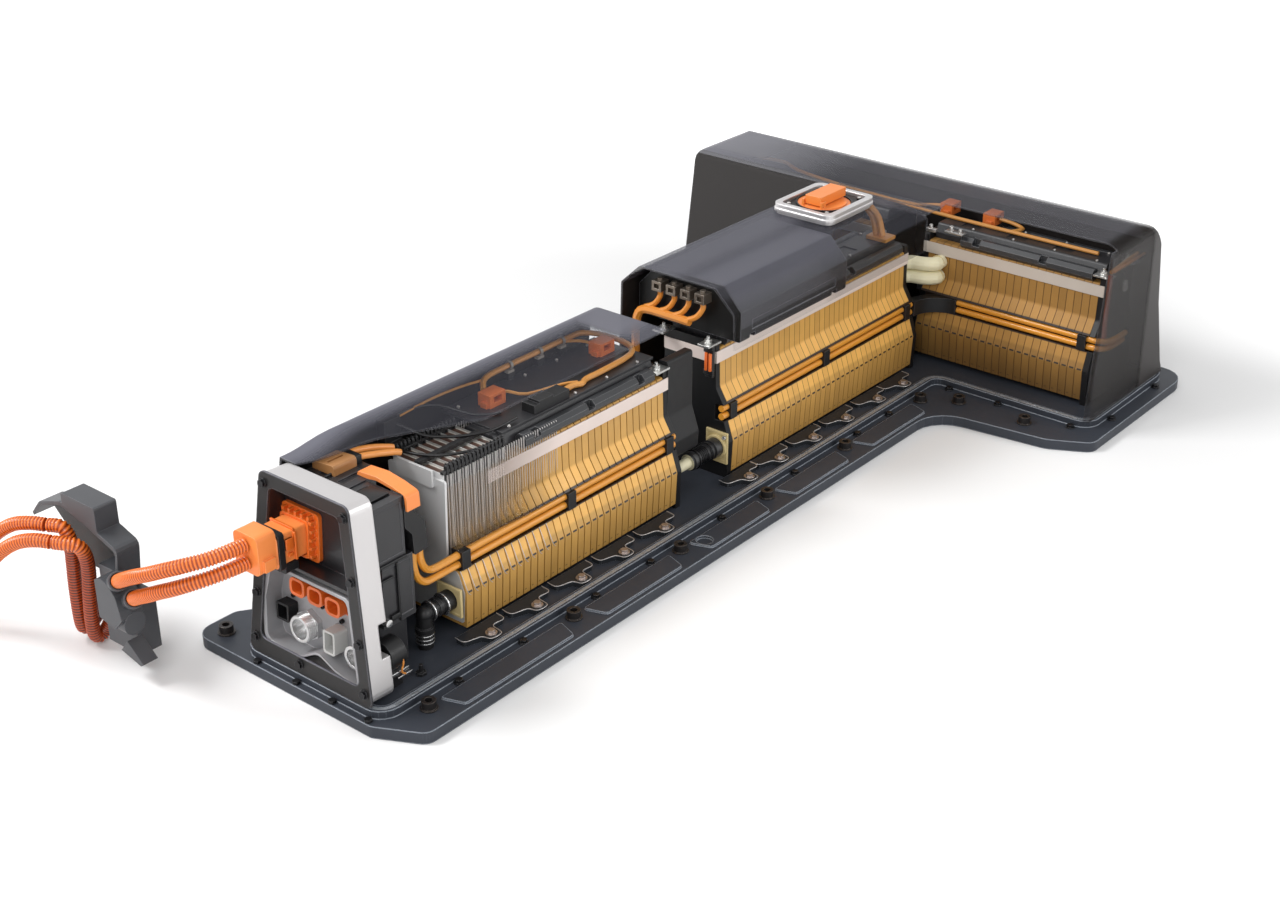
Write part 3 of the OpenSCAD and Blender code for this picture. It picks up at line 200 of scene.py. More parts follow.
# Material builder
class Material:
    """A small wrapper round a material's nodes."""

    def __init__(self, name):
        """Starts a material with its shader and the piece's own coordinates."""
        self.m = bpy.data.materials.new(name)
        self.m.use_nodes = True
        self.t = self.m.node_tree
        self.bsdf = self.t.nodes["Principled BSDF"]
        self.coord = self.new("ShaderNodeTexCoord").outputs["Object"]
        split = self.new("ShaderNodeSeparateXYZ")
        self.put(split.inputs[0], self.coord)
        self.x, self.y, self.z = split.outputs

    def new(self, kind, **props):
        """Adds a node of a kind with its settings."""
        n = self.t.nodes.new(kind)
        for k, v in props.items():
            setattr(n, k, v)
        return n

    def put(self, socket, value):
        """Links a socket or sets its constant; None leaves it as it is."""
        if isinstance(value, bpy.types.NodeSocket):
            self.t.links.new(value, socket)
        elif value is not None:
            socket.default_value = value

    def math(self, op, a, b=None, c=None, clamp=False):
        """One sum, product or other operation on numbers."""
        n = self.new("ShaderNodeMath", operation=op, use_clamp=clamp)
        for s, v in zip(n.inputs, (a, b, c)):
            self.put(s, v)
        return n.outputs[0]

    def mix(self, f, a, b):
        """A colour between a and b."""
        n = self.new("ShaderNodeMix", data_type="RGBA")
        for i, v in ((0, f), (6, a), (7, b)):
            self.put(n.inputs[i], v)
        return n.outputs[2]

    def blend(self, f, a, b):
        """A number between a and b."""
        n = self.new("ShaderNodeMix", data_type="FLOAT")
        for i, v in ((0, f), (2, a), (3, b)):
            self.put(n.inputs[i], v)
        return n.outputs[0]

    def ramp(self, v, lo, hi, a=0.0, b=1.0):
        """Goes smoothly from a to b as v goes from lo to hi."""
        n = self.new("ShaderNodeMapRange", interpolation_type="SMOOTHSTEP")
        for s, x in zip(n.inputs, (v, lo, hi, a, b)):
            self.put(s, x)
        return n.outputs[0]

    def band(self, v, lo, hi, soft):
        """1 while v lies between lo and hi, 0 past their soft borders."""
        return self.math("MULTIPLY", self.ramp(v, lo - soft, lo), self.ramp(v, hi + soft, hi))

    def noise(self, scale, detail=3, stretch=None):
        """Soft random tone over the object's own coordinates."""
        n = self.new("ShaderNodeTexNoise")
        n.inputs["Scale"].default_value = scale
        n.inputs["Detail"].default_value = detail
        vector = self.coord
        if stretch:
            mapping = self.new("ShaderNodeMapping")
            mapping.inputs["Scale"].default_value = stretch
            self.put(mapping.inputs[0], vector)
            vector = mapping.outputs[0]
        self.put(n.inputs["Vector"], vector)
        return n.outputs["Fac"]

    def uneven(self, low, spread, scale, detail=4):
        """A factor from low up to low + spread that wanders over the surface."""
        return self.math("ADD", low, self.math("MULTIPLY", self.noise(scale, detail), spread))

    def bevel(self, radius):
        """The normal of edges rounded to a radius."""
        n = self.new("ShaderNodeBevel", samples=4)
        n.inputs["Radius"].default_value = radius
        return n.outputs[0]

    def edges(self, normal):
        """0 on flat faces, towards 1 at rounded edges."""
        geometry = self.new("ShaderNodeNewGeometry")
        dot = self.new("ShaderNodeVectorMath", operation="DOT_PRODUCT")
        self.put(dot.inputs[0], normal)
        self.put(dot.inputs[1], geometry.outputs["Normal"])
        return self.ramp(dot.outputs["Value"], 0.995, 0.86)

    def bump(self, height, strength, distance, normal=None):
        """The normal of a fine relief."""
        n = self.new("ShaderNodeBump")
        self.put(n.inputs["Height"], height)
        n.inputs["Strength"].default_value = strength
        n.inputs["Distance"].default_value = distance
        self.put(n.inputs["Normal"], normal)
        return n.outputs[0]

    def shade(self, colour, factor):
        """Multiplies a colour by a factor."""
        n = self.new("ShaderNodeVectorMath", operation="SCALE")
        self.put(n.inputs[0], colour[:3] if isinstance(colour, tuple) else colour)
        self.put(n.inputs["Scale"], factor)
        return n.outputs[0]

    def finish(self, colour, rough, normal=None, metal=0.0, coat=0.0, alpha=None, spec=0.5):
        """Puts the results into the shader and returns the material."""
        for key, value in (("Base Color", colour), ("Roughness", rough), ("Normal", normal),
                           ("Metallic", metal), ("Coat Weight", coat), ("Alpha", alpha),
                           ("Specular IOR Level", spec)):
            self.put(self.bsdf.inputs[key], value)
        return self.m


# How much the roughness of a surface wanders, and the depth of its grain in metres
SMEAR, GRAIN_DEPTH = 0.14, 0.0004


def surface(name, rgb, rough=0.45, metal=0.0, tint=0.16, wear_and_highlight=0.3, radius=0.0012, grain=0.12,
            grain_size=1400, coat=0.0, light=None, spec=0.5, brushed=None):
    """A moulded, cast or painted surface: uneven tone, fine grain, and rounded edges lightened partly by wear and
    partly as painted highlight.
    """
    m = Material(name)
    base = linear(rgb)
    normal = m.bevel(radius)
    edge = m.edges(normal)
    tone = m.uneven(1 - tint / 2, tint, 14)
    colour = m.shade(base, tone)
    # Painted highlight and wear: rounded edges are lightened towards a lighter colour.
    pale = linear(light) if light else tuple(min(1, c * 1.8 + 0.05) for c in base[:3]) + (1,)
    colour = m.mix(m.math("MULTIPLY", edge, wear_and_highlight), colour, pale)
    smear = m.noise(60, 3, brushed)
    roughness = m.math("ADD", rough - SMEAR / 2, m.math("MULTIPLY", smear, SMEAR), clamp=True)
    normal = m.bump(m.noise(grain_size, 2, brushed), grain, GRAIN_DEPTH, normal)
    return m.finish(colour, roughness, normal, metal=metal, coat=coat, spec=spec)


def paint(material, *names):
    """Gives nodes of the construction their material."""
    for n in names:
        ob = NODES[n]
        ob.data.materials.clear()
        ob.data.materials.append(material)


# Mesh builder
def smooth_route(points, steps):
    """The route of the construction: a uniform spline through given points."""
    last = len(points) - 1
    out = []
    for i in range(last):
        a, b = points[max(i - 1, 0)], points[i]
        c, d = points[i + 1], points[min(i + 2, last)]
        for k in range(steps):
            t = k / steps
            out.append(0.5 * (2 * b + (c - a) * t + (2 * a - 5 * b + 4 * c - d) * t * t
                              + (3 * b - a - 3 * c + d) * t ** 3))
    out.append(points[-1])
    return out


def resample(path, spacing):
    """Points about a spacing apart along a polyline, both ends kept, and its length."""
    total = sum((b - a).length for a, b in zip(path, path[1:]))
    count = max(2, round(total / spacing))
    step = total / count
    out, run, target = [path[0]], 0.0, step
    for a, b in zip(path, path[1:]):
        length = (b - a).length
        while run + length >= target - 1e-9 and len(out) < count:
            out.append(a.lerp(b, (target - run) / length))
            target += step
        run += length
    out.append(path[-1])
    return out, total


def sweep(path, radii, sides):
    """Vertices and faces of a closed tube with its own radius at each ring."""
    heads = [(path[min(i + 1, len(path) - 1)] - path[max(i - 1, 0)]).normalized() for i in range(len(path))]
    side = Vector((0, 0, 1)) if abs(heads[0].z) < 0.9 else Vector((1, 0, 0))
    verts, faces = [], []
    for p, t, r in zip(path, heads, radii):
        side = (side - t * side.dot(t)).normalized()
        up = t.cross(side)
        for k in range(sides):
            a = 2 * math.pi * k / sides
            verts.append(p + r * (math.cos(a) * side + math.sin(a) * up))
    for i in range(len(path) - 1):
        for k in range(sides):
            a, b = i * sides + k, i * sides + (k + 1) % sides
            faces.append((a, b, b + sides, a + sides))
    faces.append(tuple(range(sides - 1, -1, -1)))
    faces.append(tuple(range(len(verts) - sides, len(verts))))
    return verts, faces


def settle(ob, name, material, slot, body="pack"):
    """Names a finished piece, puts its place in its mesh and ties it to its body."""
    ob.name = ob.data.name = name
    ob.data.materials.clear()
    ob.data.materials.append(material)
    alone(ob)
    bpy.ops.object.transform_apply(location=True, rotation=True, scale=True)
    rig.ride(ob, body)
    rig.slot(ob, slot)
    return ob


def tube_piece(name, tubes, material, slot, crests=None):
    """One piece made of swept tubes, with how far each point stands out where that is given."""
    mesh = bpy.data.meshes.new(name)
    verts, faces = [], []
    for v, f in tubes:
        n = len(verts)
        verts += v
        faces += [tuple(i + n for i in face) for face in f]
    mesh.from_pydata(verts, [], faces)
    ob = bpy.data.objects.new(name, mesh)
    SCENE.collection.objects.link(ob)
    mesh.shade_smooth()
    if crests:
        mesh.attributes.new("crest", "FLOAT", "POINT").data.foreach_set("value", crests)
    else:
        mesh.set_sharp_from_angle(angle=TUBE_SHARP_ANGLE)
    return settle(ob, name, material, slot)


# Modelling by hand
def alone(ob):
    """Leaves one object selected and active."""
    bpy.ops.object.select_all(action="DESELECT")
    ob.select_set(True)
    bpy.context.view_layer.objects.active = ob
    return ob


def block(middle, size):
    """Adds a box in millimetres: middle as station, left, height, then its size along each axis."""
    bpy.ops.object.select_all(action="DESELECT")
    bpy.ops.mesh.primitive_cube_add(size=1, location=row(middle))
    ob = bpy.context.object
    ob.scale = Vector(size) / 1000
    bpy.ops.object.transform_apply(location=False, rotation=False, scale=True)
    return ob


TURN_TO = {"X": (0, math.pi / 2, 0), "Y": (math.pi / 2, 0, 0), "Z": (0, 0, 0)}


def round_bar(middle, radius, length, axis="Z", sides=24):
    """Adds a cylinder in millimetres along an axis."""
    bpy.ops.object.select_all(action="DESELECT")
    bpy.ops.mesh.primitive_cylinder_add(vertices=sides, radius=radius / 1000, depth=length / 1000,
                                        location=row(middle), rotation=TURN_TO[axis])
    ob = bpy.context.object
    bpy.ops.object.transform_apply(location=False, rotation=True, scale=False)
    return ob


def ring(middle, radius, thick, axis="Z", around=32):
    """A band with rounded edges in millimetres about an axis: an open tube made thick, then eased."""
    bpy.ops.object.select_all(action="DESELECT")
    bpy.ops.mesh.primitive_cylinder_add(vertices=around, radius=(radius + thick) / 1000,
                                        depth=2 * thick / 1000, end_fill_type="NOTHING",
                                        location=row(middle), rotation=TURN_TO[axis])
    ob = bpy.context.object
    bpy.ops.object.transform_apply(location=False, rotation=True, scale=False)
    wall = ob.modifiers.new("wall", "SOLIDIFY")
    wall.thickness = 2 * thick / 1000
    wall.offset = -1
    wall.use_even_offset = True
    bpy.ops.object.modifier_apply(modifier="wall")
    return eased(ob, 0.6 * thick, 2)


def pick(ob, facing, least=0.9):
    """Selects the faces that face a direction and opens edit mode on them."""
    way = Vector(facing).normalized()
    for f in ob.data.polygons:
        f.select = f.normal.dot(way) > least
    for e in ob.data.edges:
        e.select = False
    alone(ob)
    bpy.ops.object.mode_set(mode="EDIT")
    bpy.ops.mesh.select_mode(type="FACE")


def sunk(ob, facing, rim, depth):
    """Insets the faces that face a direction and pushes the middle in, or out for a negative depth."""
    pick(ob, facing)
    bpy.ops.mesh.inset(thickness=rim / 1000, depth=0)
    way = -Vector(facing).normalized() * depth / 1000
    bpy.ops.mesh.extrude_region_move(TRANSFORM_OT_translate={"value": way})
    bpy.ops.object.mode_set(mode="OBJECT")
    return ob


def eased(ob, width, segments=2):
    """Rounds a piece's edges with an applied bevel."""
    alone(ob)
    bevel = ob.modifiers.new("edge", "BEVEL")
    bevel.width = width / 1000
    bevel.segments = segments
    bevel.limit_method = "ANGLE"
    bevel.angle_limit = EDGE_ANGLE
    bpy.ops.object.modifier_apply(modifier="edge")
    bpy.ops.object.shade_smooth_by_angle(angle=SMOOTH_ANGLE)
    return ob


def copies(ob, moves, turns=None):
    """Copies of a model, each with its own mesh, at moves in millimetres, maybe turned, as one object."""
    made = []
    for move, turn in zip(moves, turns or [0] * len(moves)):
        other = ob.copy()
        other.data = ob.data.copy()
        SCENE.collection.objects.link(other)
        other.location = ob.location + Vector(move) / 1000
        other.rotation_euler.z = turn
        made.append(other)
    bpy.data.objects.remove(ob)
    return joined(made)


def repeated(ob, places):
    """A model that stands at the first of some places, copied to all of them."""
    return copies(ob, [Vector(p) - Vector(places[0]) for p in places])


def joined(obs):
    """Several models as one object."""
    bpy.ops.object.select_all(action="DESELECT")
    for ob in obs:
        ob.select_set(True)
    bpy.context.view_layer.objects.active = obs[0]
    if len(obs) > 1:
        bpy.ops.object.join()
    return bpy.context.view_layer.objects.active


# Conduits
def conduit_material(name, rgb, groove, shaded=None):
    """Orange corrugated tube with painted shade in its grooves, and painted shade low down where it hangs in the
    holder, lit only at its top.
    """
    m = Material(name)
    tone = m.uneven(0.9, 0.2, 25)
    top = m.shade(linear(rgb), tone)
    groove_shade = linear(groove)
    if shaded:
        # Painted shade: below this height the hanging loops take the shaded colours, above it the lit ones.
        sunlit = m.ramp(m.z, 0.150, 0.180)
        top = m.mix(sunlit, m.shade(linear(shaded), tone), top)
        groove_shade = m.mix(sunlit, linear((0.16, 0.05, 0.03)), linear(groove))
    # Painted shade in the grooves: the colour runs from the groove shade up to the crest colour as each ring stands
    # out.
    crest = m.new("ShaderNodeAttribute", attribute_name="crest").outputs["Fac"]
    colour = m.mix(m.ramp(crest, 0.05, 0.95), groove_shade, top)
    normal = m.bump(m.noise(900, 2), 0.03, 0.0003)
    return m.finish(colour, 0.36, normal, coat=0.1)


CONDUIT = conduit_material("conduit_orange", (0.93, 0.47, 0.155), (0.60, 0.23, 0.07))
# Painted shade: the loops that hang in the holder take this shaded copy of the conduit colours.
CONDUIT_HUNG_SHADED = conduit_material("conduit_hung_painted_shade", (0.93, 0.47, 0.155), (0.60, 0.23, 0.07),
                                (0.70, 0.27, 0.09))
CONDUIT_D = 0.020
CONDUIT_SIDES = 22
RIB_PITCH = 0.0046
# The rings of one rib: their radii, and how far each stands out of the groove, which sets how much painted groove
# shade it takes
RIB_RADII = (0.0083, 0.0098, 0.0100, 0.0086)
RIB_CRESTS = (0.0, 0.75, 1.0, 0.3)
RINGS = len(RIB_RADII)


def ribbed(points):
    """The tube, its points' crests, and the path and length of a corrugated conduit."""
    path, length = resample(smooth_route([row(p) for p in points], 8), RIB_PITCH / RINGS)
    rings = [i % RINGS for i in range(len(path))]
    crests = [RIB_CRESTS[i] for i in rings for _ in range(CONDUIT_SIDES)]
    return sweep(path, [RIB_RADII[i] for i in rings], CONDUIT_SIDES), crests, path, length


def corrugated(name, points, material, node):
    """A corrugated conduit along a route of the construction, in the place of its plain tube."""
    tube, crests, path, length = ribbed(points)
    ob = tube_piece(name, [tube], material, node, crests)
    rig.replaces(ob, node)
    return ob, path, length


FRONT_UPPER = [(-41, 35, 245), (-69, 39, 244), (-93, 49.5, 240.5), (-112, 66.5, 235), (-125.5, 88.5, 226.5),
               (-133.5, 114.5, 214.5), (-135, 144.5, 200), (-129.5, 176.5, 181.5), (-116.5, 210, 160)]
FRONT_LOWER = [(-41, 35, 219), (-68.5, 38.5, 218), (-91, 48.5, 214), (-108.5, 63.5, 208), (-120.5, 83, 199),
               (-127, 106.5, 188), (-127.5, 132, 174), (-122.5, 160, 158), (-111.5, 188, 139.5)]
REAR_UPPER = [(-117.8, 359.6, 192), (-128, 380, 192), (-137, 408, 184), (-145, 440, 162), (-152, 476, 126),
              (-163, 512, 84), (-183, 546, 46), (-212, 580, 22), (-258, 604, 12), (-317.2, 606, 11)]
REAR_LOWER = [(-129.8, 333.6, 180), (-140, 354, 180), (-150, 382, 171), (-159, 412, 150), (-167, 446, 116),
              (-178, 480, 76), (-197, 514, 41), (-226, 548, 18), (-264, 577, 12), (-317.2, 578, 11)]
LOOP_RIGHT = [(-66, 287.8, 52), (-66, 298, 51), (-68, 314, 38), (-72, 324, 20), (-82, 328, 12),
              (-91, 326, 22), (-95, 321, 50), (-96.5, 314, 90), (-97, 307, 130), (-101, 303, 158),
              (-109, 304, 175), (-120, 314, 180), (-128, 330, 180)]
LOOP_LEFT = [(-64, 287.8, 86), (-64, 300, 85), (-64, 318, 70), (-68, 338, 44), (-76, 350, 24),
             (-87, 354, 18), (-94, 350, 38), (-97, 345, 90), (-98, 340, 132), (-100, 335, 160),
             (-103, 334, 180), (-108, 340, 192), (-116, 356, 192)]

for name, points, far, others in (
        ("conduit_front_upper", FRONT_UPPER, "object", ("power_plug", "plug_strap", "conduit_bracket")),
        ("conduit_front_lower", FRONT_LOWER, "object", ()),
        ("conduit_rear_upper", REAR_UPPER, "connector", ("conduit_fitting",)),
        ("conduit_rear_lower", REAR_LOWER, "connector", ("conduit_fitting",))):
    ob, path, length = corrugated("ribbed_" + name, points, CONDUIT, name)
    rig.cord(ob, exit=path[0], length=length, diameter=CONDUIT_D, far_end=far, stiffness="stiff",
            lay="loose", path=path, with_pieces=[NODES[n] for n in others])
right_tube, right_crests, _, _ = ribbed(LOOP_RIGHT)
left_tube, left_crests, _, _ = ribbed(LOOP_LEFT)
loops = tube_piece("ribbed_conduit_loops", [right_tube, left_tube], CONDUIT_HUNG_SHADED, "conduit_loops",
                   right_crests + left_crests)
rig.replaces(loops, "conduit_loops")


# Materials of the construction's nodes
paint(surface("tray_paint", (0.205, 0.22, 0.25), rough=0.46, tint=0.30, wear_and_highlight=0.9, radius=0.0028, grain=0.10,
              grain_size=1500, light=(0.72, 0.75, 0.79), spec=0.3), "tray")
# Painted highlight: the gasket is painted bright and shiny so that it draws the bright lines that light makes along
# the seal ridge.
paint(surface("gasket_painted_highlight", (0.62, 0.64, 0.66), rough=0.28, metal=0.5, tint=0.1, wear_and_highlight=0.5,
              radius=0.0008), "cover_gasket")
paint(surface("bolt_black", (0.10, 0.10, 0.11), rough=0.34, metal=0.5, tint=0.1, wear_and_highlight=0.6, radius=0.0007,
              light=(0.45, 0.45, 0.46)), "cover_bolts")
paint(surface("bushing_steel", (0.20, 0.19, 0.19), rough=0.36, metal=0.6, tint=0.2, wear_and_highlight=0.6, radius=0.0009,
              light=(0.5, 0.46, 0.43)), "mount_bushings")
paint(surface("bracket_paint", (0.13, 0.14, 0.155), rough=0.48, tint=0.2, wear_and_highlight=0.9, radius=0.0014,
              light=(0.60, 0.62, 0.64), spec=0.3), "module_brackets")
paint(surface("bracket_bolt_steel", (0.66, 0.62, 0.60), rough=0.34, metal=0.85, tint=0.2, wear_and_highlight=0.5,
              radius=0.0007), "bracket_bolts")
paint(surface("cast_silver", (0.80, 0.79, 0.79), rough=0.38, metal=0.75, tint=0.10, wear_and_highlight=0.55,
              radius=0.0025, grain=0.22, grain_size=900, light=(0.95, 0.95, 0.95)), "connector_housing",
      "disconnect_frame")
paint(surface("dish_silver", (0.60, 0.60, 0.61), rough=0.42, metal=0.35, tint=0.12, wear_and_highlight=0.4, radius=0.002,
              grain=0.2, grain_size=900), "connector_panel")
paint(surface("bowl_black", (0.12, 0.12, 0.13), rough=0.38, tint=0.1, wear_and_highlight=0.5, radius=0.0015, coat=0.1),
      "header_bowl")
ORANGE = surface("connector_orange", (0.90, 0.42, 0.13), rough=0.34, tint=0.12, wear_and_highlight=0.5, grain=0.08,
                 grain_size=1600, coat=0.2, light=(1.0, 0.66, 0.38))
paint(ORANGE, "power_header")
paint(surface("plug_orange", (0.95, 0.55, 0.28), rough=0.40, tint=0.12, wear_and_highlight=0.5, radius=0.0014,
              light=(1.0, 0.76, 0.55)), "power_plug", "busbar_cover")
paint(surface("socket_orange", (0.80, 0.36, 0.12), rough=0.36, tint=0.12, wear_and_highlight=0.6, radius=0.0014,
              light=(0.95, 0.58, 0.32)), "auxiliary_sockets")
paint(surface("disconnect_orange", (0.93, 0.53, 0.23), rough=0.38, tint=0.1, wear_and_highlight=0.5, radius=0.0014,
              light=(1, 0.74, 0.5)), "service_plug", "service_lever")
BLACK = surface("moulded_black", (0.095, 0.095, 0.10), rough=0.42, tint=0.2, wear_and_highlight=0.6, radius=0.0013,
                grain_size=1500, light=(0.40, 0.40, 0.41), spec=0.35)
paint(BLACK, "plug_strap", "cable_ducts", "cable_clips", "board_connector", "coolant_elbow",
      "tray_fittings", "conduit_fitting")
paint(surface("connector_black", (0.075, 0.075, 0.08), rough=0.40, tint=0.1, wear_and_highlight=0.6, radius=0.001,
              spec=0.3), "signal_connector", "disconnect_socket", "end_plates")
paint(surface("connector_grey", (0.72, 0.72, 0.71), rough=0.40, tint=0.1, wear_and_highlight=0.4, radius=0.0014),
      "data_connector")
paint(surface("turned_silver", (0.80, 0.80, 0.80), rough=0.24, metal=0.9, tint=0.1, wear_and_highlight=0.5, radius=0.0007,
              brushed=(1, 8, 8)), "threaded_connector", "coolant_port")
paint(surface("relay_box_grey", (0.155, 0.155, 0.165), rough=0.36, tint=0.2, wear_and_highlight=0.6, radius=0.0016,
              grain=0.15, grain_size=1300, light=(0.45, 0.45, 0.47)), "relay_boxes")


def box_material():
    """Slate moulding, lighter towards its top, with a dark foot, a dark end where its leads go in, and painted
    highlights on its rounded edges.
    """
    m = Material("electronics_box_slate")
    normal = m.bevel(0.002)
    edge = m.edges(normal)
    tone = m.uneven(0.92, 0.16, 14)
    top = m.ramp(m.z, 0.3150, 0.3505)
    colour = m.mix(top, linear((0.27, 0.27, 0.29)), linear((0.38, 0.38, 0.42)))
    colour = m.mix(m.ramp(m.z, 0.290, 0.286), colour, linear((0.13, 0.13, 0.14)))
    colour = m.mix(m.ramp(m.x, -0.0150, -0.0170), m.shade(colour, tone), linear((0.03, 0.03, 0.032)))
    # Painted highlight: the rounded edges are lightened towards light grey.
    colour = m.mix(m.math("MULTIPLY", edge, 0.7), colour, linear((0.62, 0.62, 0.65)))
    normal = m.bump(m.noise(1300, 2), 0.12, 0.0004, normal)
    return m.finish(colour, 0.42, normal, spec=0.35)


paint(box_material(), "electronics_box")
paint(surface("cap_tan", (0.64, 0.45, 0.27), rough=0.45, tint=0.3, wear_and_highlight=0.5, light=(0.85, 0.68, 0.46)),
      "busbar_cap")
paint(surface("board_black", (0.17, 0.17, 0.18), rough=0.36, tint=0.2, wear_and_highlight=0.4, light=(0.4, 0.4, 0.41)),
      "top_boards")
paint(surface("rail_grey", (0.19, 0.195, 0.205), rough=0.36, tint=0.2, wear_and_highlight=0.7, radius=0.0014,
              light=(0.55, 0.55, 0.56)), "top_rails")
CABLE = surface("cable_orange", (0.86, 0.58, 0.20), rough=0.34, tint=0.12, wear_and_highlight=0.2, radius=0.0005,
                grain=0.06, grain_size=900, coat=0.25)
paint(CABLE, "channel_cables")
paint(surface("harness_tan", (0.82, 0.57, 0.28), rough=0.38, radius=0.0005, grain=0.08, grain_size=900,
              coat=0.15), "front_harness", "rear_harness", "disconnect_cables")
paint(surface("lead_amber", (0.84, 0.53, 0.20), rough=0.38, radius=0.0005, grain=0.08, grain_size=900,
              coat=0.15), "box_leads")
paint(surface("harness_orange", (0.84, 0.44, 0.20), rough=0.42, tint=0.2, wear_and_highlight=0.5, radius=0.0008),
      "harness_connectors")


def tie_and_post():
    """White tie round the harness on a dark post."""
    m = Material("tie_and_post")
    colour = m.mix(m.ramp(m.z, 0.2805, 0.2815), linear((0.12, 0.12, 0.125)), linear((0.62, 0.60, 0.57)))
    colour = m.shade(colour, m.uneven(0.92, 0.16, 60, 3))
    return m.finish(colour, 0.42, m.bevel(0.0007))


paint(tie_and_post(), "harness_ties")
paint(surface("lug_silver", (0.76, 0.76, 0.75), rough=0.28, metal=0.85, tint=0.15, wear_and_highlight=0.5,
              radius=0.0008), "lug_plates")
paint(surface("terminal_bronze", (0.44, 0.40, 0.36), rough=0.32, metal=0.7, tint=0.4, wear_and_highlight=0.6,
              radius=0.0008, light=(0.75, 0.72, 0.68)), "terminal_blocks")
paint(surface("coolant_cream", (0.93, 0.90, 0.76), rough=0.34, tint=0.14, wear_and_highlight=0.35, radius=0.002,
              coat=0.1), "coolant_bends")


def bracket_plastic():
    """Grey moulding with painted shade inside the canopy and painted highlights on its edges."""
    m = Material("bracket_grey")
    normal = m.bevel(0.0014)
    edge = m.edges(normal)
    colour = m.shade(linear((0.25, 0.255, 0.27)), m.uneven(0.9, 0.2, 30))
    under = m.math("MULTIPLY", m.ramp(m.y, 0.286, 0.292), m.ramp(m.z, 0.213, 0.205))
    canopy_shade = m.math("MULTIPLY", m.band(m.x, -0.909, -0.9, 0.003), under)
    # Painted shade: near black inside the canopy.
    colour = m.mix(canopy_shade, colour, linear((0.045, 0.045, 0.05)))
    # Painted highlight: the rounded edges are lightened.
    colour = m.mix(m.math("MULTIPLY", edge, 0.5), colour, linear((0.46, 0.46, 0.48)))
    normal = m.bump(m.noise(900, 2), 0.2, 0.0004, normal)
    return m.finish(colour, 0.44, normal)


paint(bracket_plastic(), "conduit_bracket")


# Heights on the frames' flanks: the channel between the shoulders, where a shadow is painted, the lips beside it,
# where highlights are painted, the dotted row below them and the marks at the foot
CHANNEL_SHADOW = (0.120, 0.152)
UPPER_LIP_HIGHLIGHT, LOWER_LIP_HIGHLIGHT = (0.156, 0.172), (0.104, 0.118)
DOTTED_ROW, FOOT_MARKS = (0.0885, 0.0905), (0.0395, 0.0405)
# Where the joints between the frames start: along X, or away from the middle in the crossbar's modules
FRONT_START, MIDDLE_START, CROSSBAR_START = station(230.5), station(836), 0.050


def frames(name, rgb, dark, axis, start, ghost=None, foot_shade=0.72, rough=0.42, coat=0.1):
    """Amber cell frames: one tone per frame, dark joints, a dotted row low on the flank, painted shade towards the
    foot, painted highlights on the lips and a painted shadow in the channel.
    """
    m = Material(name)
    along = m.x if axis == "x" else m.math("ABSOLUTE", m.y)
    u = m.math("DIVIDE", m.math("SUBTRACT", along, start), CELL_PITCH)
    cell = m.math("FRACT", u)
    tone = m.new("ShaderNodeTexWhiteNoise", noise_dimensions="1D")
    m.put(tone.inputs["W"], m.math("FLOOR", u))
    factor = m.math("ADD", 0.90, m.math("MULTIPLY", tone.outputs["Value"], 0.16))
    factor = m.math("MULTIPLY", factor, m.uneven(0.88, 0.24, 35))
    # Painted shade: darker towards the foot.
    factor = m.math("MULTIPLY", factor, m.ramp(m.z, 0.03, 0.11, foot_shade, 1.0))
    # Painted highlight: lighter bands along the lips above and below the channel.
    lip = m.math("MAXIMUM", m.band(m.z, *UPPER_LIP_HIGHLIGHT, 0.006), m.band(m.z, *LOWER_LIP_HIGHLIGHT, 0.006))
    factor = m.math("MULTIPLY", factor, m.math("ADD", 0.90, m.math("MULTIPLY", lip, 0.32)))
    colour = m.shade(linear(rgb), factor)
    joint = m.math("SUBTRACT", 1.0, m.math("MULTIPLY", m.ramp(cell, 0.0, 0.10), m.ramp(cell, 1.0, 0.94)))
    colour = m.mix(m.math("MULTIPLY", joint, 0.85), colour, linear(dark))
    # Painted shadow in the channel between the shoulders.
    colour = m.mix(m.band(m.z, *CHANNEL_SHADOW, 0.001), colour, linear((0.16, 0.10, 0.05)))
    dash = m.math("MULTIPLY", m.band(m.z, *DOTTED_ROW, 0.0008), m.band(cell, 0.28, 0.82, 0.03))
    colour = m.mix(dash, colour, (0.015, 0.012, 0.01, 1))
    foot = m.math("MULTIPLY", m.band(m.z, *FOOT_MARKS, 0.0006), m.band(cell, 0.2, 0.45, 0.03))
    colour = m.mix(m.math("MULTIPLY", foot, 0.7), colour, (0.03, 0.02, 0.01, 1))
    alpha = None
    if ghost:
        upper = m.ramp(m.x, ghost[0], ghost[1], 0.10, 1.0)
        alpha = m.blend(m.ramp(m.z, 0.112, 0.135), 1.0, upper)
    normal = m.bump(m.noise(500, 2), 0.12, 0.0004, m.bevel(0.0008))
    return m.finish(colour, rough, normal, coat=coat, alpha=alpha)


paint(frames("frames_front", (0.84, 0.645, 0.335), (0.36, 0.22, 0.08), "x", FRONT_START,
             ghost=(-0.54, -0.36)), "cell_frames_front")
paint(frames("frames_middle", (0.85, 0.65, 0.335), (0.38, 0.24, 0.09), "x", MIDDLE_START),
      "cell_frames_middle")
# Painted shade: the crossbar's frames take a darker copy of the amber, and darker still at the foot.
paint(frames("frames_crossbar", (0.62, 0.455, 0.215), (0.24, 0.14, 0.055), "y", CROSSBAR_START,
             foot_shade=0.5, rough=0.6, coat=0.0), "cell_frames_right", "cell_frames_left")


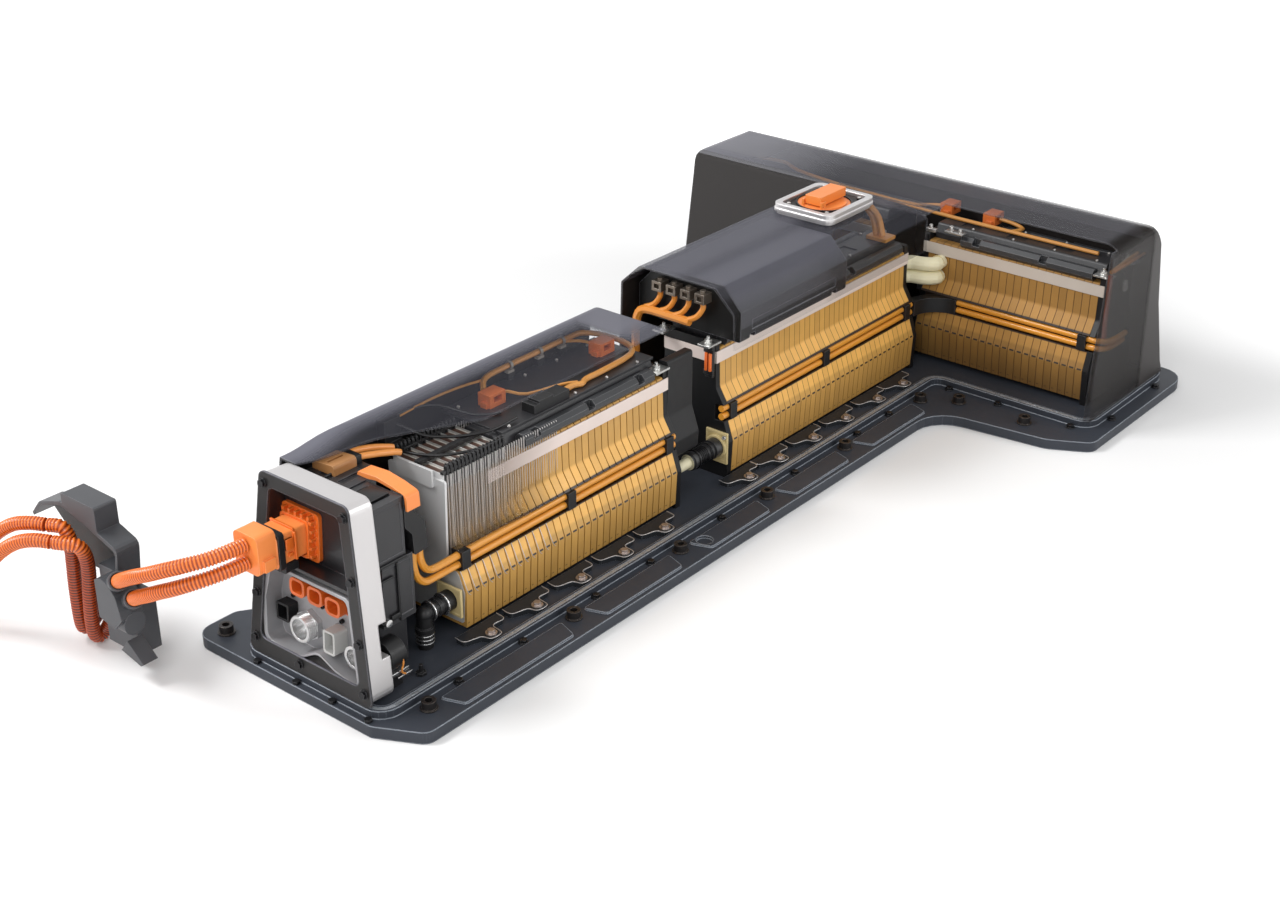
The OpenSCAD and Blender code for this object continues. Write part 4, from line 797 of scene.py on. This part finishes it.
def fins():
    """Bright satin aluminium, streaked down the sheet."""
    m = Material("fin_aluminium")
    normal = m.bevel(0.0005)
    streaks = m.math("MULTIPLY", m.noise(40, 3, (1, 4, 0.6)), 0.2)
    colour = m.shade(linear((0.86, 0.86, 0.85)), m.math("ADD", 0.86, streaks))
    rough = m.math("ADD", 0.24, m.math("MULTIPLY", m.noise(25, 3, (1, 5, 0.5)), 0.22))
    first = m.ramp(m.x, -0.6075, -0.6045)
    colour = m.mix(first, m.shade(linear((0.84, 0.84, 0.84)), m.ramp(m.z, 0.10, 0.26, 0.82, 1.0)), colour)
    return m.finish(colour, rough, normal, metal=m.ramp(first, 0.0, 1.0, 0.3, 0.7))


paint(fins(), "cooling_fins")


def tab_tops():
    """Brown pouch edges with pale borders beside a dark comb."""
    m = Material("tab_brown")
    pitch = m.math("FRACT", m.math("DIVIDE", m.math("SUBTRACT", m.x, FRONT_START), CELL_PITCH))
    centre = m.ramp(m.math("ABSOLUTE", m.y), 0.0045, 0.0055)
    side = m.ramp(m.math("ABSOLUTE", m.y), 0.0425, 0.0415)
    colour = m.mix(m.noise(60, 4), linear((0.36, 0.25, 0.20)), linear((0.24, 0.16, 0.13)))
    colour = m.mix(m.ramp(pitch, 0.84, 0.90), colour, linear((0.86, 0.84, 0.80)))
    colour = m.mix(m.math("MULTIPLY", centre, side), linear((0.13, 0.13, 0.135)), colour)
    return m.finish(colour, 0.38, m.bevel(0.0008), coat=0.2)


paint(tab_tops(), "cell_tabs")


def straps():
    """Matt pinkish steel band, faded out over the bare front of the first module."""
    m = Material("strap_pale")
    rear = m.ramp(m.x, -0.03, 0.02)
    colour = m.mix(rear, linear((0.90, 0.84, 0.81)), linear((0.88, 0.83, 0.80)))
    colour = m.mix(m.ramp(m.x, 0.56, 0.60), colour, linear((0.76, 0.72, 0.68)))
    colour = m.shade(colour, m.uneven(0.95, 0.1, 30))
    alpha = m.ramp(m.x, -0.52, -0.37, 0.28, 1.0)
    normal = m.bump(m.noise(900, 2), 0.08, 0.0003, m.bevel(0.0006))
    return m.finish(colour, 0.42, normal, metal=0.15, alpha=alpha)


paint(straps(), "side_straps")


def cover(name, alpha_of, rgb=(0.105, 0.10, 0.10)):
    """Moulded cover, ghosted where the cutaway looks through it, with painted sheen on its flat-lying faces and its
    edges always drawn as light painted highlights.
    """
    m = Material(name)
    normal = m.bevel(0.003)
    edge = m.edges(normal)
    tone = m.uneven(0.90, 0.2, 10)
    colour = m.shade(linear(rgb), tone)
    facing = m.new("ShaderNodeNewGeometry")
    up = m.new("ShaderNodeSeparateXYZ")
    m.put(up.inputs[0], facing.outputs["Normal"])
    # Painted sheen: faces that lie flat, such as the roof, are lightened, more so on the crossbar's roof.
    roof = m.mix(m.ramp(m.x, 0.50, 0.60), linear((0.37, 0.37, 0.41)), linear((0.52, 0.52, 0.55)))
    colour = m.mix(m.ramp(m.math("ABSOLUTE", up.outputs[2]), 0.35, 0.9), colour, m.shade(roof, tone))
    colour = m.mix(m.ramp(m.y, -0.395, -0.415), colour, m.shade(linear((0.17, 0.155, 0.15)), tone))
    # Painted highlight: the rounded edges are lightened towards light grey.
    colour = m.mix(m.math("MULTIPLY", edge, 0.6), colour, linear((0.55, 0.55, 0.58)))
    body, line = alpha_of(m)
    alpha = m.math("MAXIMUM", body, m.math("MULTIPLY", edge, line))
    normal = m.bump(m.noise(700, 2), 0.04, 0.0003, normal)
    return m.finish(colour, 0.46, normal, alpha=alpha, spec=0.4)


def front_alpha(m):
    """How solid the front cover is, and how clearly its edges show."""
    # The roof is clear over the cells, solid along its left side and closed again at its rear end
    left = m.ramp(m.y, 0.035, 0.080, 0.10, 0.95)
    tail = m.ramp(m.x, -0.215, -0.165, 1.0, 0.86)
    closed = m.math("MULTIPLY", m.ramp(m.x, -0.235, -0.200), m.ramp(m.y, -0.05, 0.0, 0.45, 0.88))
    ghost = m.math("MAXIMUM", m.math("MULTIPLY", left, tail), closed)
    # The wall is solid, and thins a little towards the rear end
    wall = m.ramp(m.x, -0.25, -0.17, 1.0, 0.86)
    body = m.blend(m.ramp(m.z, 0.295, 0.303), wall, ghost)
    # The rim behind the connector face is solid all round
    rim = m.ramp(m.x, -0.800, -0.812)
    return m.math("MAXIMUM", body, rim), 0.5


def rear_alpha(m):
    """How solid the rear cover is over hump and crossbar, and how clearly its edges show."""
    # The hump is solid on its left wall, half clear on top, and hardly there on its right wall
    wall = m.ramp(m.y, 0.070, 0.105, 0.03, 1.0)
    crown = m.blend(m.ramp(m.y, -0.02, 0.02), 0.22, 0.55)
    near_disc = m.math("MULTIPLY", m.ramp(m.x, 0.17, 0.24), 0.16)
    hump_alpha = m.math("MAXIMUM", m.blend(m.ramp(m.z, 0.335, 0.35), wall, crown), near_disc)
    # The crossbar is solid on its left wing and its back, and half clear at its right end
    wing = m.ramp(m.y, 0.10, 0.13, 0.10, 1.0)
    end = m.math("MULTIPLY", m.ramp(m.y, -0.405, -0.425), 0.50)
    back = m.ramp(m.x, 0.69, 0.715, 0.0, 0.97)
    walls = m.math("MAXIMUM", m.math("MAXIMUM", wing, end), back)
    # Its roof is clear towards the front, but for the left wing, and nearly solid towards the rear
    roof = m.math("MULTIPLY", m.ramp(m.z, 0.312, 0.326), m.ramp(m.x, 0.735, 0.69))
    bar_roof = m.blend(m.ramp(m.x, 0.69, 0.76), m.ramp(m.y, 0.10, 0.42, 0.14, 0.7), 0.86)
    bar = m.blend(roof, walls, bar_roof)
    # Edges show all over, and only faintly low on the hump
    hump = m.ramp(m.x, 0.535, 0.520)
    line = m.blend(m.math("MULTIPLY", hump, m.ramp(m.z, 0.30, 0.28)), 0.6, 0.08)
    return m.blend(hump, bar, hump_alpha), line


paint(cover("front_cover_shell", front_alpha), "front_cover")
paint(cover("rear_cover_shell", rear_alpha, (0.135, 0.12, 0.115)), "rear_cover")


def two_tone(name, at, first, second, rough):
    """Two moulded colours of one node, that change at a place along X."""
    m = Material(name)
    colour = m.mix(m.ramp(m.x, at - 0.0005, at + 0.0005), linear(first), linear(second))
    colour = m.shade(colour, m.uneven(0.92, 0.16, 40))
    return m.finish(colour, rough, m.bevel(0.0008), coat=0.15)


LINK_STEP = station(747.8)
paint(two_tone("link_two_tone", LINK_STEP, (0.86, 0.83, 0.70), (0.15, 0.15, 0.155), 0.34), "coolant_link")


# Small pieces modelled one by one
STEEL = surface("screw_steel", (0.72, 0.71, 0.70), rough=0.30, metal=0.85, tint=0.15, wear_and_highlight=0.5,
                radius=0.0005)
DARK_STEEL = surface("stud_black", (0.09, 0.09, 0.10), rough=0.32, metal=0.5, tint=0.1, wear_and_highlight=0.6,
                     radius=0.0005)
CHROME = surface("tab_chrome", (0.80, 0.80, 0.80), rough=0.18, metal=0.95, tint=0.1, wear_and_highlight=0.5,
                 radius=0.0005)
PALE = surface("edge_silver", (0.80, 0.78, 0.77), rough=0.32, metal=0.6, tint=0.2, wear_and_highlight=0.4,
               radius=0.0003)
CREAM = surface("flange_cream", (0.80, 0.72, 0.52), rough=0.40, tint=0.2, wear_and_highlight=0.5, radius=0.001)
WIRE = surface("wire_black", (0.07, 0.07, 0.075), rough=0.36, tint=0.1, radius=0.0004)
RUSTY = surface("lead_rusty", (0.60, 0.26, 0.12), rough=0.36, tint=0.2, wear_and_highlight=0.2, radius=0.0004)
LEAD = surface("lead_tan", (0.90, 0.58, 0.27), rough=0.36, tint=0.2, wear_and_highlight=0.2, radius=0.0004, coat=0.2)

FORWARD, RIGHT, UP = (-1, 0, 0), (0, -1, 0), (0, 0, 1)
LEAN = math.radians(3.4)
FACE_STATION, RIDGE_TOP, DISH_BACK = 13, 30, 31


def on_face(d, y, w):
    """Station, left and height of a place on the leaning connector face."""
    return (FACE_STATION + d * math.cos(LEAN) + w * math.sin(LEAN), y,
            RIDGE_TOP + w * math.cos(LEAN) - d * math.sin(LEAN))


def screw(place, radius, high, axis="Z", way=UP):
    """A pan-head screw with a sunk drive, its head facing a way."""
    ob = round_bar(place, radius, high, axis, 16)
    sunk(ob, way, radius * 0.45, high * 0.4)
    return eased(ob, high * 0.22)


def wires(name, routes, radius, material, slot, sides=10):
    """Thin leads along routes given in millimetres."""
    tubes = []
    for points in routes:
        path, _ = resample(smooth_route([row(p) for p in points], 6), 0.004)
        tubes.append(sweep(path, [radius / 1000] * len(path), sides))
    return tube_piece(name, tubes, material, slot)


# Tongue and window on the side of the power plug, and the lip across its front half
tongue = [sunk(block((10, 11.6, 232), (13, 4, 16)), RIGHT, 2, 1), block((12, 11.8, 216), (8, 4, 5)),
          block((20, 11.8, 225.7), (3.4, 5, 40)), block((20, 35, 248.6), (3.4, 44, 4))]
settle(joined([eased(t, 0.7) for t in tongue]), "plug_tongue", ORANGE, "power_plug")

# Orange base that the three sockets share, with its raised rim
base = block(on_face(28.5, -6, 122), (4, 108, 34))
sunk(base, FORWARD, 3, 1)
settle(eased(base, 1.2), "socket_base", ORANGE, "auxiliary_sockets")

# Studs on the dish: bright ones between the sockets, black ones over the lower connectors
spots = [on_face(DISH_BACK - 2, y, w) for y, w in ((11, 139), (-23, 137))]
settle(repeated(screw(spots[0], 3.6, 8, "X", FORWARD), spots), "dish_studs", STEEL, "connector_panel")
spots = [on_face(DISH_BACK - 1, y, w) for y, w in ((60, 92), (-34, 88), (44, 140), (2, 96), (-62, 82))]
settle(repeated(screw(spots[0], 3.2, 7, "X", FORWARD), spots), "dish_black_studs", DARK_STEEL,
       "connector_panel")

# Bright tabs in the notch of the housing, with their lead
tabs = [eased(block((74, -98, 60), (20, 3, 9)), 0.8), eased(block((84, -97, 45), (34, 3, 5)), 0.8),
        eased(block((66, -99, 70), (6, 9, 14)), 0.8), eased(block((78, -100, 72), (5, 8, 10)), 0.8),
        eased(block((92, -98, 38), (26, 4, 3)), 0.8)]
settle(joined(tabs), "latch_tabs", CHROME, "tray_fittings")
wires("latch_lead", [[(76, -100, 82), (82, -104, 76), (86, -104, 62), (84, -102, 48), (92, -100, 40)]], 1.4,
      LEAD, "tray_fittings")

# Trim on the relay boxes
trim = [eased(block((98, -79.2, 197), (58, 3.4, 4)), 0.8), eased(block((109, -79.2, 150), (3, 3, 88)), 0.8),
        eased(block((100, -79.5, 116), (14, 4, 8)), 0.8), eased(block((90, -79.2, 176), (24, 3, 3)), 0.8),
        eased(block((98, -46, 285.5), (40, 34, 3)), 0.8), eased(block((116, 30, 288), (44, 3, 4)), 0.8)]
settle(joined(trim), "relay_trim", BLACK, "relay_boxes")
knob = eased(round_bar((80, -84, 118), 6, 12, "Y"), 1.2)
settle(knob, "relay_knob", CHROME, "relay_boxes")

# Twin leads from the tan cap to the first plate
wires("cap_leads", [[(150, 52, 291), (166, 50, 292), (190, 44, 289), (212, 38, 283), (220, 36, 280)],
                    [(150, 38, 290), (166, 35, 289), (190, 29, 285), (212, 24, 280), (220, 22, 277)]], 4.6,
      LEAD, "busbar_cap", 14)
collar = block((150, 45, 290), (16, 32, 13))
sunk(collar, (1, 0, 0), 2, 2)
settle(eased(collar, 1.5), "cap_collar", BLACK, "busbar_cap")

# Clamp rings on the coolant elbow and the flange of its port
clamps = [ring((206, -56, 76), 15.2, 1.3, "X"), ring((182, -56, 76), 14.4, 1.1, "X"),
          ring((172, -56, 46), 12.2, 1.2), ring((172, -56, 40), 12.2, 1.2), ring((172, -56, 34), 12.2, 1.2)]
settle(joined(clamps), "elbow_clamps", CHROME, "coolant_elbow")
flange = block((222, -56, 76), (4, 46, 44))
sunk(flange, FORWARD, 4, 1)
settle(eased(flange, 3, 3), "port_flange", CREAM, "coolant_elbow")

# Pale sheet edges between the bare cells' fins
SHEETS, SHEET_PITCH = 46, 4.83
for side, word in ((-1, "right"), (1, "left")):
    edge = eased(block((234.8, side * 50.6, 190), (0.7, 2.4, 140)), 0.2, 1)
    settle(copies(edge, [(i * SHEET_PITCH, 0, 0) for i in range(SHEETS)]), "sheet_edges_" + word, PALE,
           "cooling_fins")

# Pale edges of the folded sheets over the lower frames' shoulders, one at each of the first joints
FIRST_JOINT, JOINTS = 231, 13
arcs = [[(s, side * 69.6, 120.5), (s + 1, side * 74.5, 108), (s + 1.5, side * 79.6, 95),
         (s + 4, side * 80.3, 88), (s + 8, side * 80.0, 84)]
        for s in [FIRST_JOINT + 1000 * CELL_PITCH * i for i in range(JOINTS)] for side in (-1, 1)]
wires("shoulder_edges", arcs, 0.55, PALE, "cooling_fins", 6)

# Combs over the bare cells
tooth = block((237, -47, 266), (4, 7, 14))
sunk(tooth, UP, 1, -3)
TEETH, TOOTH_PITCH = 16, 7.25
settle(copies(eased(tooth, 0.5, 1), [(i * TOOTH_PITCH, dy, 0) for i in range(TEETH) for dy in (0, 94)]),
       "cell_combs", BLACK, "cell_tabs")

# Thin black sense leads that cross the bare cells
wires("sense_leads", [[(250, 76, 294), (262, 60, 288), (280, 40, 274), (300, 20, 270), (330, -6, 270),
                       (360, -20, 272), (400, -24, 276)],
                      [(256, 74, 300), (300, 78, 296), (340, 70, 288), (372, 30, 274), (400, 6, 274)],
                      [(236, 40, 268), (240, 10, 270), (262, -20, 270), (300, -44, 272), (350, -46, 272)]],
      2.2, WIRE, "board_connector")

# Screws along the boards
FRONT_BOARD_TOP, BOARD_TOP = 271, 267
spots = [(s, y, FRONT_BOARD_TOP) for s in (380, 450, 520, 590, 660) for y in (-28, 70)]
spots += [(s, y, BOARD_TOP) for s in (1140, 1240, 1340) for y in (-22, 22)]
spots += [(s, y, BOARD_TOP) for s in (1485, 1529) for y in (-120, -200, -280, -360, 120, 200, 280, 360)]
settle(repeated(screw(spots[0], 2.6, 3), spots), "board_screws", STEEL, "top_boards")

# Pale outlines along the shoulders of the module brackets: thin tubes that stand in for painted highlights on their
# edges
outline = [(42, -16), (38, 2), (16, 2), (10, 24), (-10, 24), (-16, 10), (-40, 2), (-40, -16)]
bracket_stations = (244, 338, 433, 529, 625, 840, 924, 1020, 1116, 1214, 1296)
outlines = [[(s + dx, side * (97 + dy), 32.5) for dx, dy in outline]
            for s in bracket_stations for side in (-1, 1)]
wires("bracket_outlines", outlines, 0.6, PALE, "module_brackets", 6)

# Stud plates on the crossbar's modules beside the tunnel
for side, word in ((-1, "right"), (1, "left")):
    plates = [eased(block((1450, side * 104, 267.6), (15, 36, 2.6)), 0.6),
              screw((1450, side * 96, 273), 4.2, 9), screw((1450, side * 114, 272), 3.4, 7),
              eased(block((1441, side * 62, 266), (10, 20, 6)), 1.0), screw((1441, side * 60, 272), 3.6, 7)]
    settle(joined(plates), "crossbar_studs_" + word, STEEL, "lug_plates")

# Upright link on the corner of the middle module, with its orange leads
link = [eased(block((819.5, -44, 222), (7, 15, 54)), 1.2), eased(block((816, -44, 204), (3, 19, 8)), 0.8),
        eased(block((816, -44, 240), (3, 19, 6)), 0.8)]
settle(joined(link), "corner_link", BLACK, "lug_plates")
leads = [eased(round_bar((814.6, y, 222), 2.6, 30), 0.5) for y in (-48, -40)]
settle(joined(leads), "corner_link_leads", ORANGE, "lug_plates")

# Flange and bolts where the link hose meets the middle module
flange = block((823.6, -58, 77), (4, 42, 54))
sunk(flange, FORWARD, 5, 1)
flange = joined([eased(flange, 3, 3), ring((821, -58, 77), 17.5, 2.4, "X")])
settle(flange, "link_flange", CREAM, "coolant_link")
bolts = [screw((820.8, y, z), 3.4, 5, "X", FORWARD) for y, z in ((-74, 97), (-42, 57))]
settle(joined(bolts), "link_flange_bolts", STEEL, "coolant_link")

# Rod, fitting and lead inside the crossbar's right end
rod = eased(round_bar((1522, -404, 264), 2.6, 116, "X", 16), 0.6)
settle(rod, "end_rod", LEAD, "rear_harness")
fitting = [eased(block((1508, -406, 224), (11, 6, 14)), 1.2),
           eased(round_bar((1508, -406, 233), 3.2, 8), 0.6)]
settle(joined(fitting), "end_fitting", STEEL, "rear_harness")
wires("end_lead", [[(1508, -406, 237), (1506, -405, 246), (1500, -402, 256), (1490, -398, 262)]], 1.8, WIRE,
      "rear_harness")

# Grip notches round the service plug's disc
DISC_STATION, GRIP_RADIUS, GRIPS, GRIP_HEIGHT = 1186, 43.2, 24, 367
grip = eased(block((DISC_STATION, 0, GRIP_HEIGHT), (2.6, 5, 9)), 0.8, 1)
turns = [2 * math.pi * k / GRIPS for k in range(GRIPS)]
around = [(GRIP_RADIUS * math.cos(a), GRIP_RADIUS * math.sin(a), 0) for a in turns]
settle(copies(grip, around, turns), "disc_grips", ORANGE, "service_plug", "service_plug")
settle(ring((DISC_STATION, 0, 373), 45.9, 1.3, "Z", 64), "disc_seal", BLACK, "disconnect_socket")
spots = [(DISC_STATION + dx, y, 375.5) for y in (38, -38) for dx in (48, -48)]
settle(repeated(screw(spots[0], 3.4, 2.6), spots), "socket_screws", STEEL, "disconnect_socket")

# Rings on the pale coolant pipes and clamps on the link hose
rings = [ring((s, -26, z), 13.0, 1.0, "X") for z in (206, 180) for s in (1387, 1394)]
rings += [ring((1444, y, z), 12.7, 1.0, "X") for y, z in ((-77, 206), (-78, 180))]
settle(joined(rings), "pipe_rings", CREAM, "coolant_bends")
rings = [ring((s, -58, 77), 15.6, 1.2, "X") for s in (762, 794)]
rings += [ring((s, -58, 77), 13.4, 1.0, "X") for s in (770, 774, 778, 782, 786)]
settle(joined(rings), "hose_rings", DARK_STEEL, "coolant_link")

# Cables that wrap round the ends of the crossbar's modules, and the lead down its corner
wraps = [[(1444, side * 392, z), (1446, side * 400, z), (1456, side * (409 + out), z),
          (1476, side * (412 + out), z), (1510, side * (412 + out), z)]
         for side in (-1, 1) for z, out in ((128.2, 0), (142, 3.5))]
wires("end_wraps", wraps, 5.2, CABLE, "channel_cables", 12)
wires("corner_lead", [[(1450, side * 404, 262), (1444, side * 407, 240), (1446, side * 406, 215),
                       (1441, side * 408, 190), (1444, side * 408, 152)] for side in (-1, 1)], 4.2, RUSTY,
      "rear_harness")

# Floor, world and lights
FLOOR_HALF, FLOOR_TOP = 14, -0.0005


def white_floor():
    """A white floor that shades off into the plain background round the object."""
    mesh = bpy.data.meshes.new("floor")
    corners = [(x * FLOOR_HALF, y * FLOOR_HALF, FLOOR_TOP) for x, y in ((-1, -1), (1, -1), (1, 1), (-1, 1))]
    mesh.from_pydata(corners, [], [(0, 1, 2, 3)])
    ob = bpy.data.objects.new("floor", mesh)
    SCENE.collection.objects.link(ob)
    white = Material("floor_white")
    white.finish((0.90, 0.90, 0.90, 1), 0.6, spec=0.1)
    rays = white.new("ShaderNodeLightPath").outputs
    shown = white.math("ADD", rays["Is Camera Ray"], rays["Is Glossy Ray"])
    shown = white.math("ADD", shown, rays["Is Transmission Ray"], clamp=True)
    squares = white.math("ADD", white.math("MULTIPLY", white.x, white.x),
                         white.math("MULTIPLY", white.y, white.y))
    glow = white.ramp(white.math("SQRT", squares), 0.9, 2.2, 0.0, 0.7)
    white.bsdf.inputs["Emission Color"].default_value = (1, 1, 1, 1)
    white.put(white.bsdf.inputs["Emission Strength"], white.math("MULTIPLY", shown, glow))
    mesh.materials.append(white.m)
    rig.stage(ob)


def white_world():
    """Light from the sky, brighter from above, and plain white where the background itself is seen."""
    world = bpy.data.worlds.new("world")
    SCENE.world = world
    world.use_nodes = True
    new, link = world.node_tree.nodes.new, world.node_tree.links.new
    world.node_tree.nodes.clear()
    sky, plain = new("ShaderNodeBackground"), new("ShaderNodeBackground")
    plain.inputs["Color"].default_value = (1, 1, 1, 1)
    direction, split = new("ShaderNodeTexCoord"), new("ShaderNodeSeparateXYZ")
    link(direction.outputs["Generated"], split.inputs[0])
    height = new("ShaderNodeMapRange")
    link(split.outputs["Z"], height.inputs["Value"])
    for key, value in (("From Min", -0.3), ("From Max", 1.0), ("To Min", 0.25), ("To Max", 0.85)):
        height.inputs[key].default_value = value
    link(height.outputs["Result"], sky.inputs["Strength"])
    rays = new("ShaderNodeLightPath").outputs
    shown = rays["Is Camera Ray"]
    for kind in ("Is Glossy Ray", "Is Transmission Ray"):
        total = new("ShaderNodeMath")
        total.use_clamp = True
        link(shown, total.inputs[0])
        link(rays[kind], total.inputs[1])
        shown = total.outputs[0]
    chosen, out = new("ShaderNodeMixShader"), new("ShaderNodeOutputWorld")
    link(shown, chosen.inputs[0])
    link(sky.outputs[0], chosen.inputs[1])
    link(plain.outputs[0], chosen.inputs[2])
    link(chosen.outputs[0], out.inputs["Surface"])


def area(name, place, target, size, power):
    """Adds a rectangular lamp that faces a target."""
    data = bpy.data.lights.new(name, "AREA")
    data.shape = "RECTANGLE"
    data.size, data.size_y = size
    data.energy = power
    ob = bpy.data.objects.new(name, data)
    SCENE.collection.objects.link(ob)
    ob.location = place
    ob.rotation_euler = (Vector(target) - Vector(place)).to_track_quat("-Z", "Y").to_euler()


white_floor()
white_world()
area("key", place=(-1.9, 1.9, 2.9), target=(0.1, 0, 0.1), size=(1.5, 1.1), power=105)
area("front", place=(-2.9, -1.3, 2.0), target=(-0.3, 0, 0.15), size=(2.0, 1.2), power=36)
area("side", place=(0.9, -3.2, 1.5), target=(0.1, -0.1, 0.15), size=(3.0, 0.8), power=40)

SCENE.view_settings.view_transform = "Standard"

VISUAL_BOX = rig.bounds()
with open("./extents.json", "w") as out:
    json.dump({"before": [list(map(float, p)) for p in CAD_BOX],
               "after": [list(map(float, p)) for p in VISUAL_BOX]}, out)
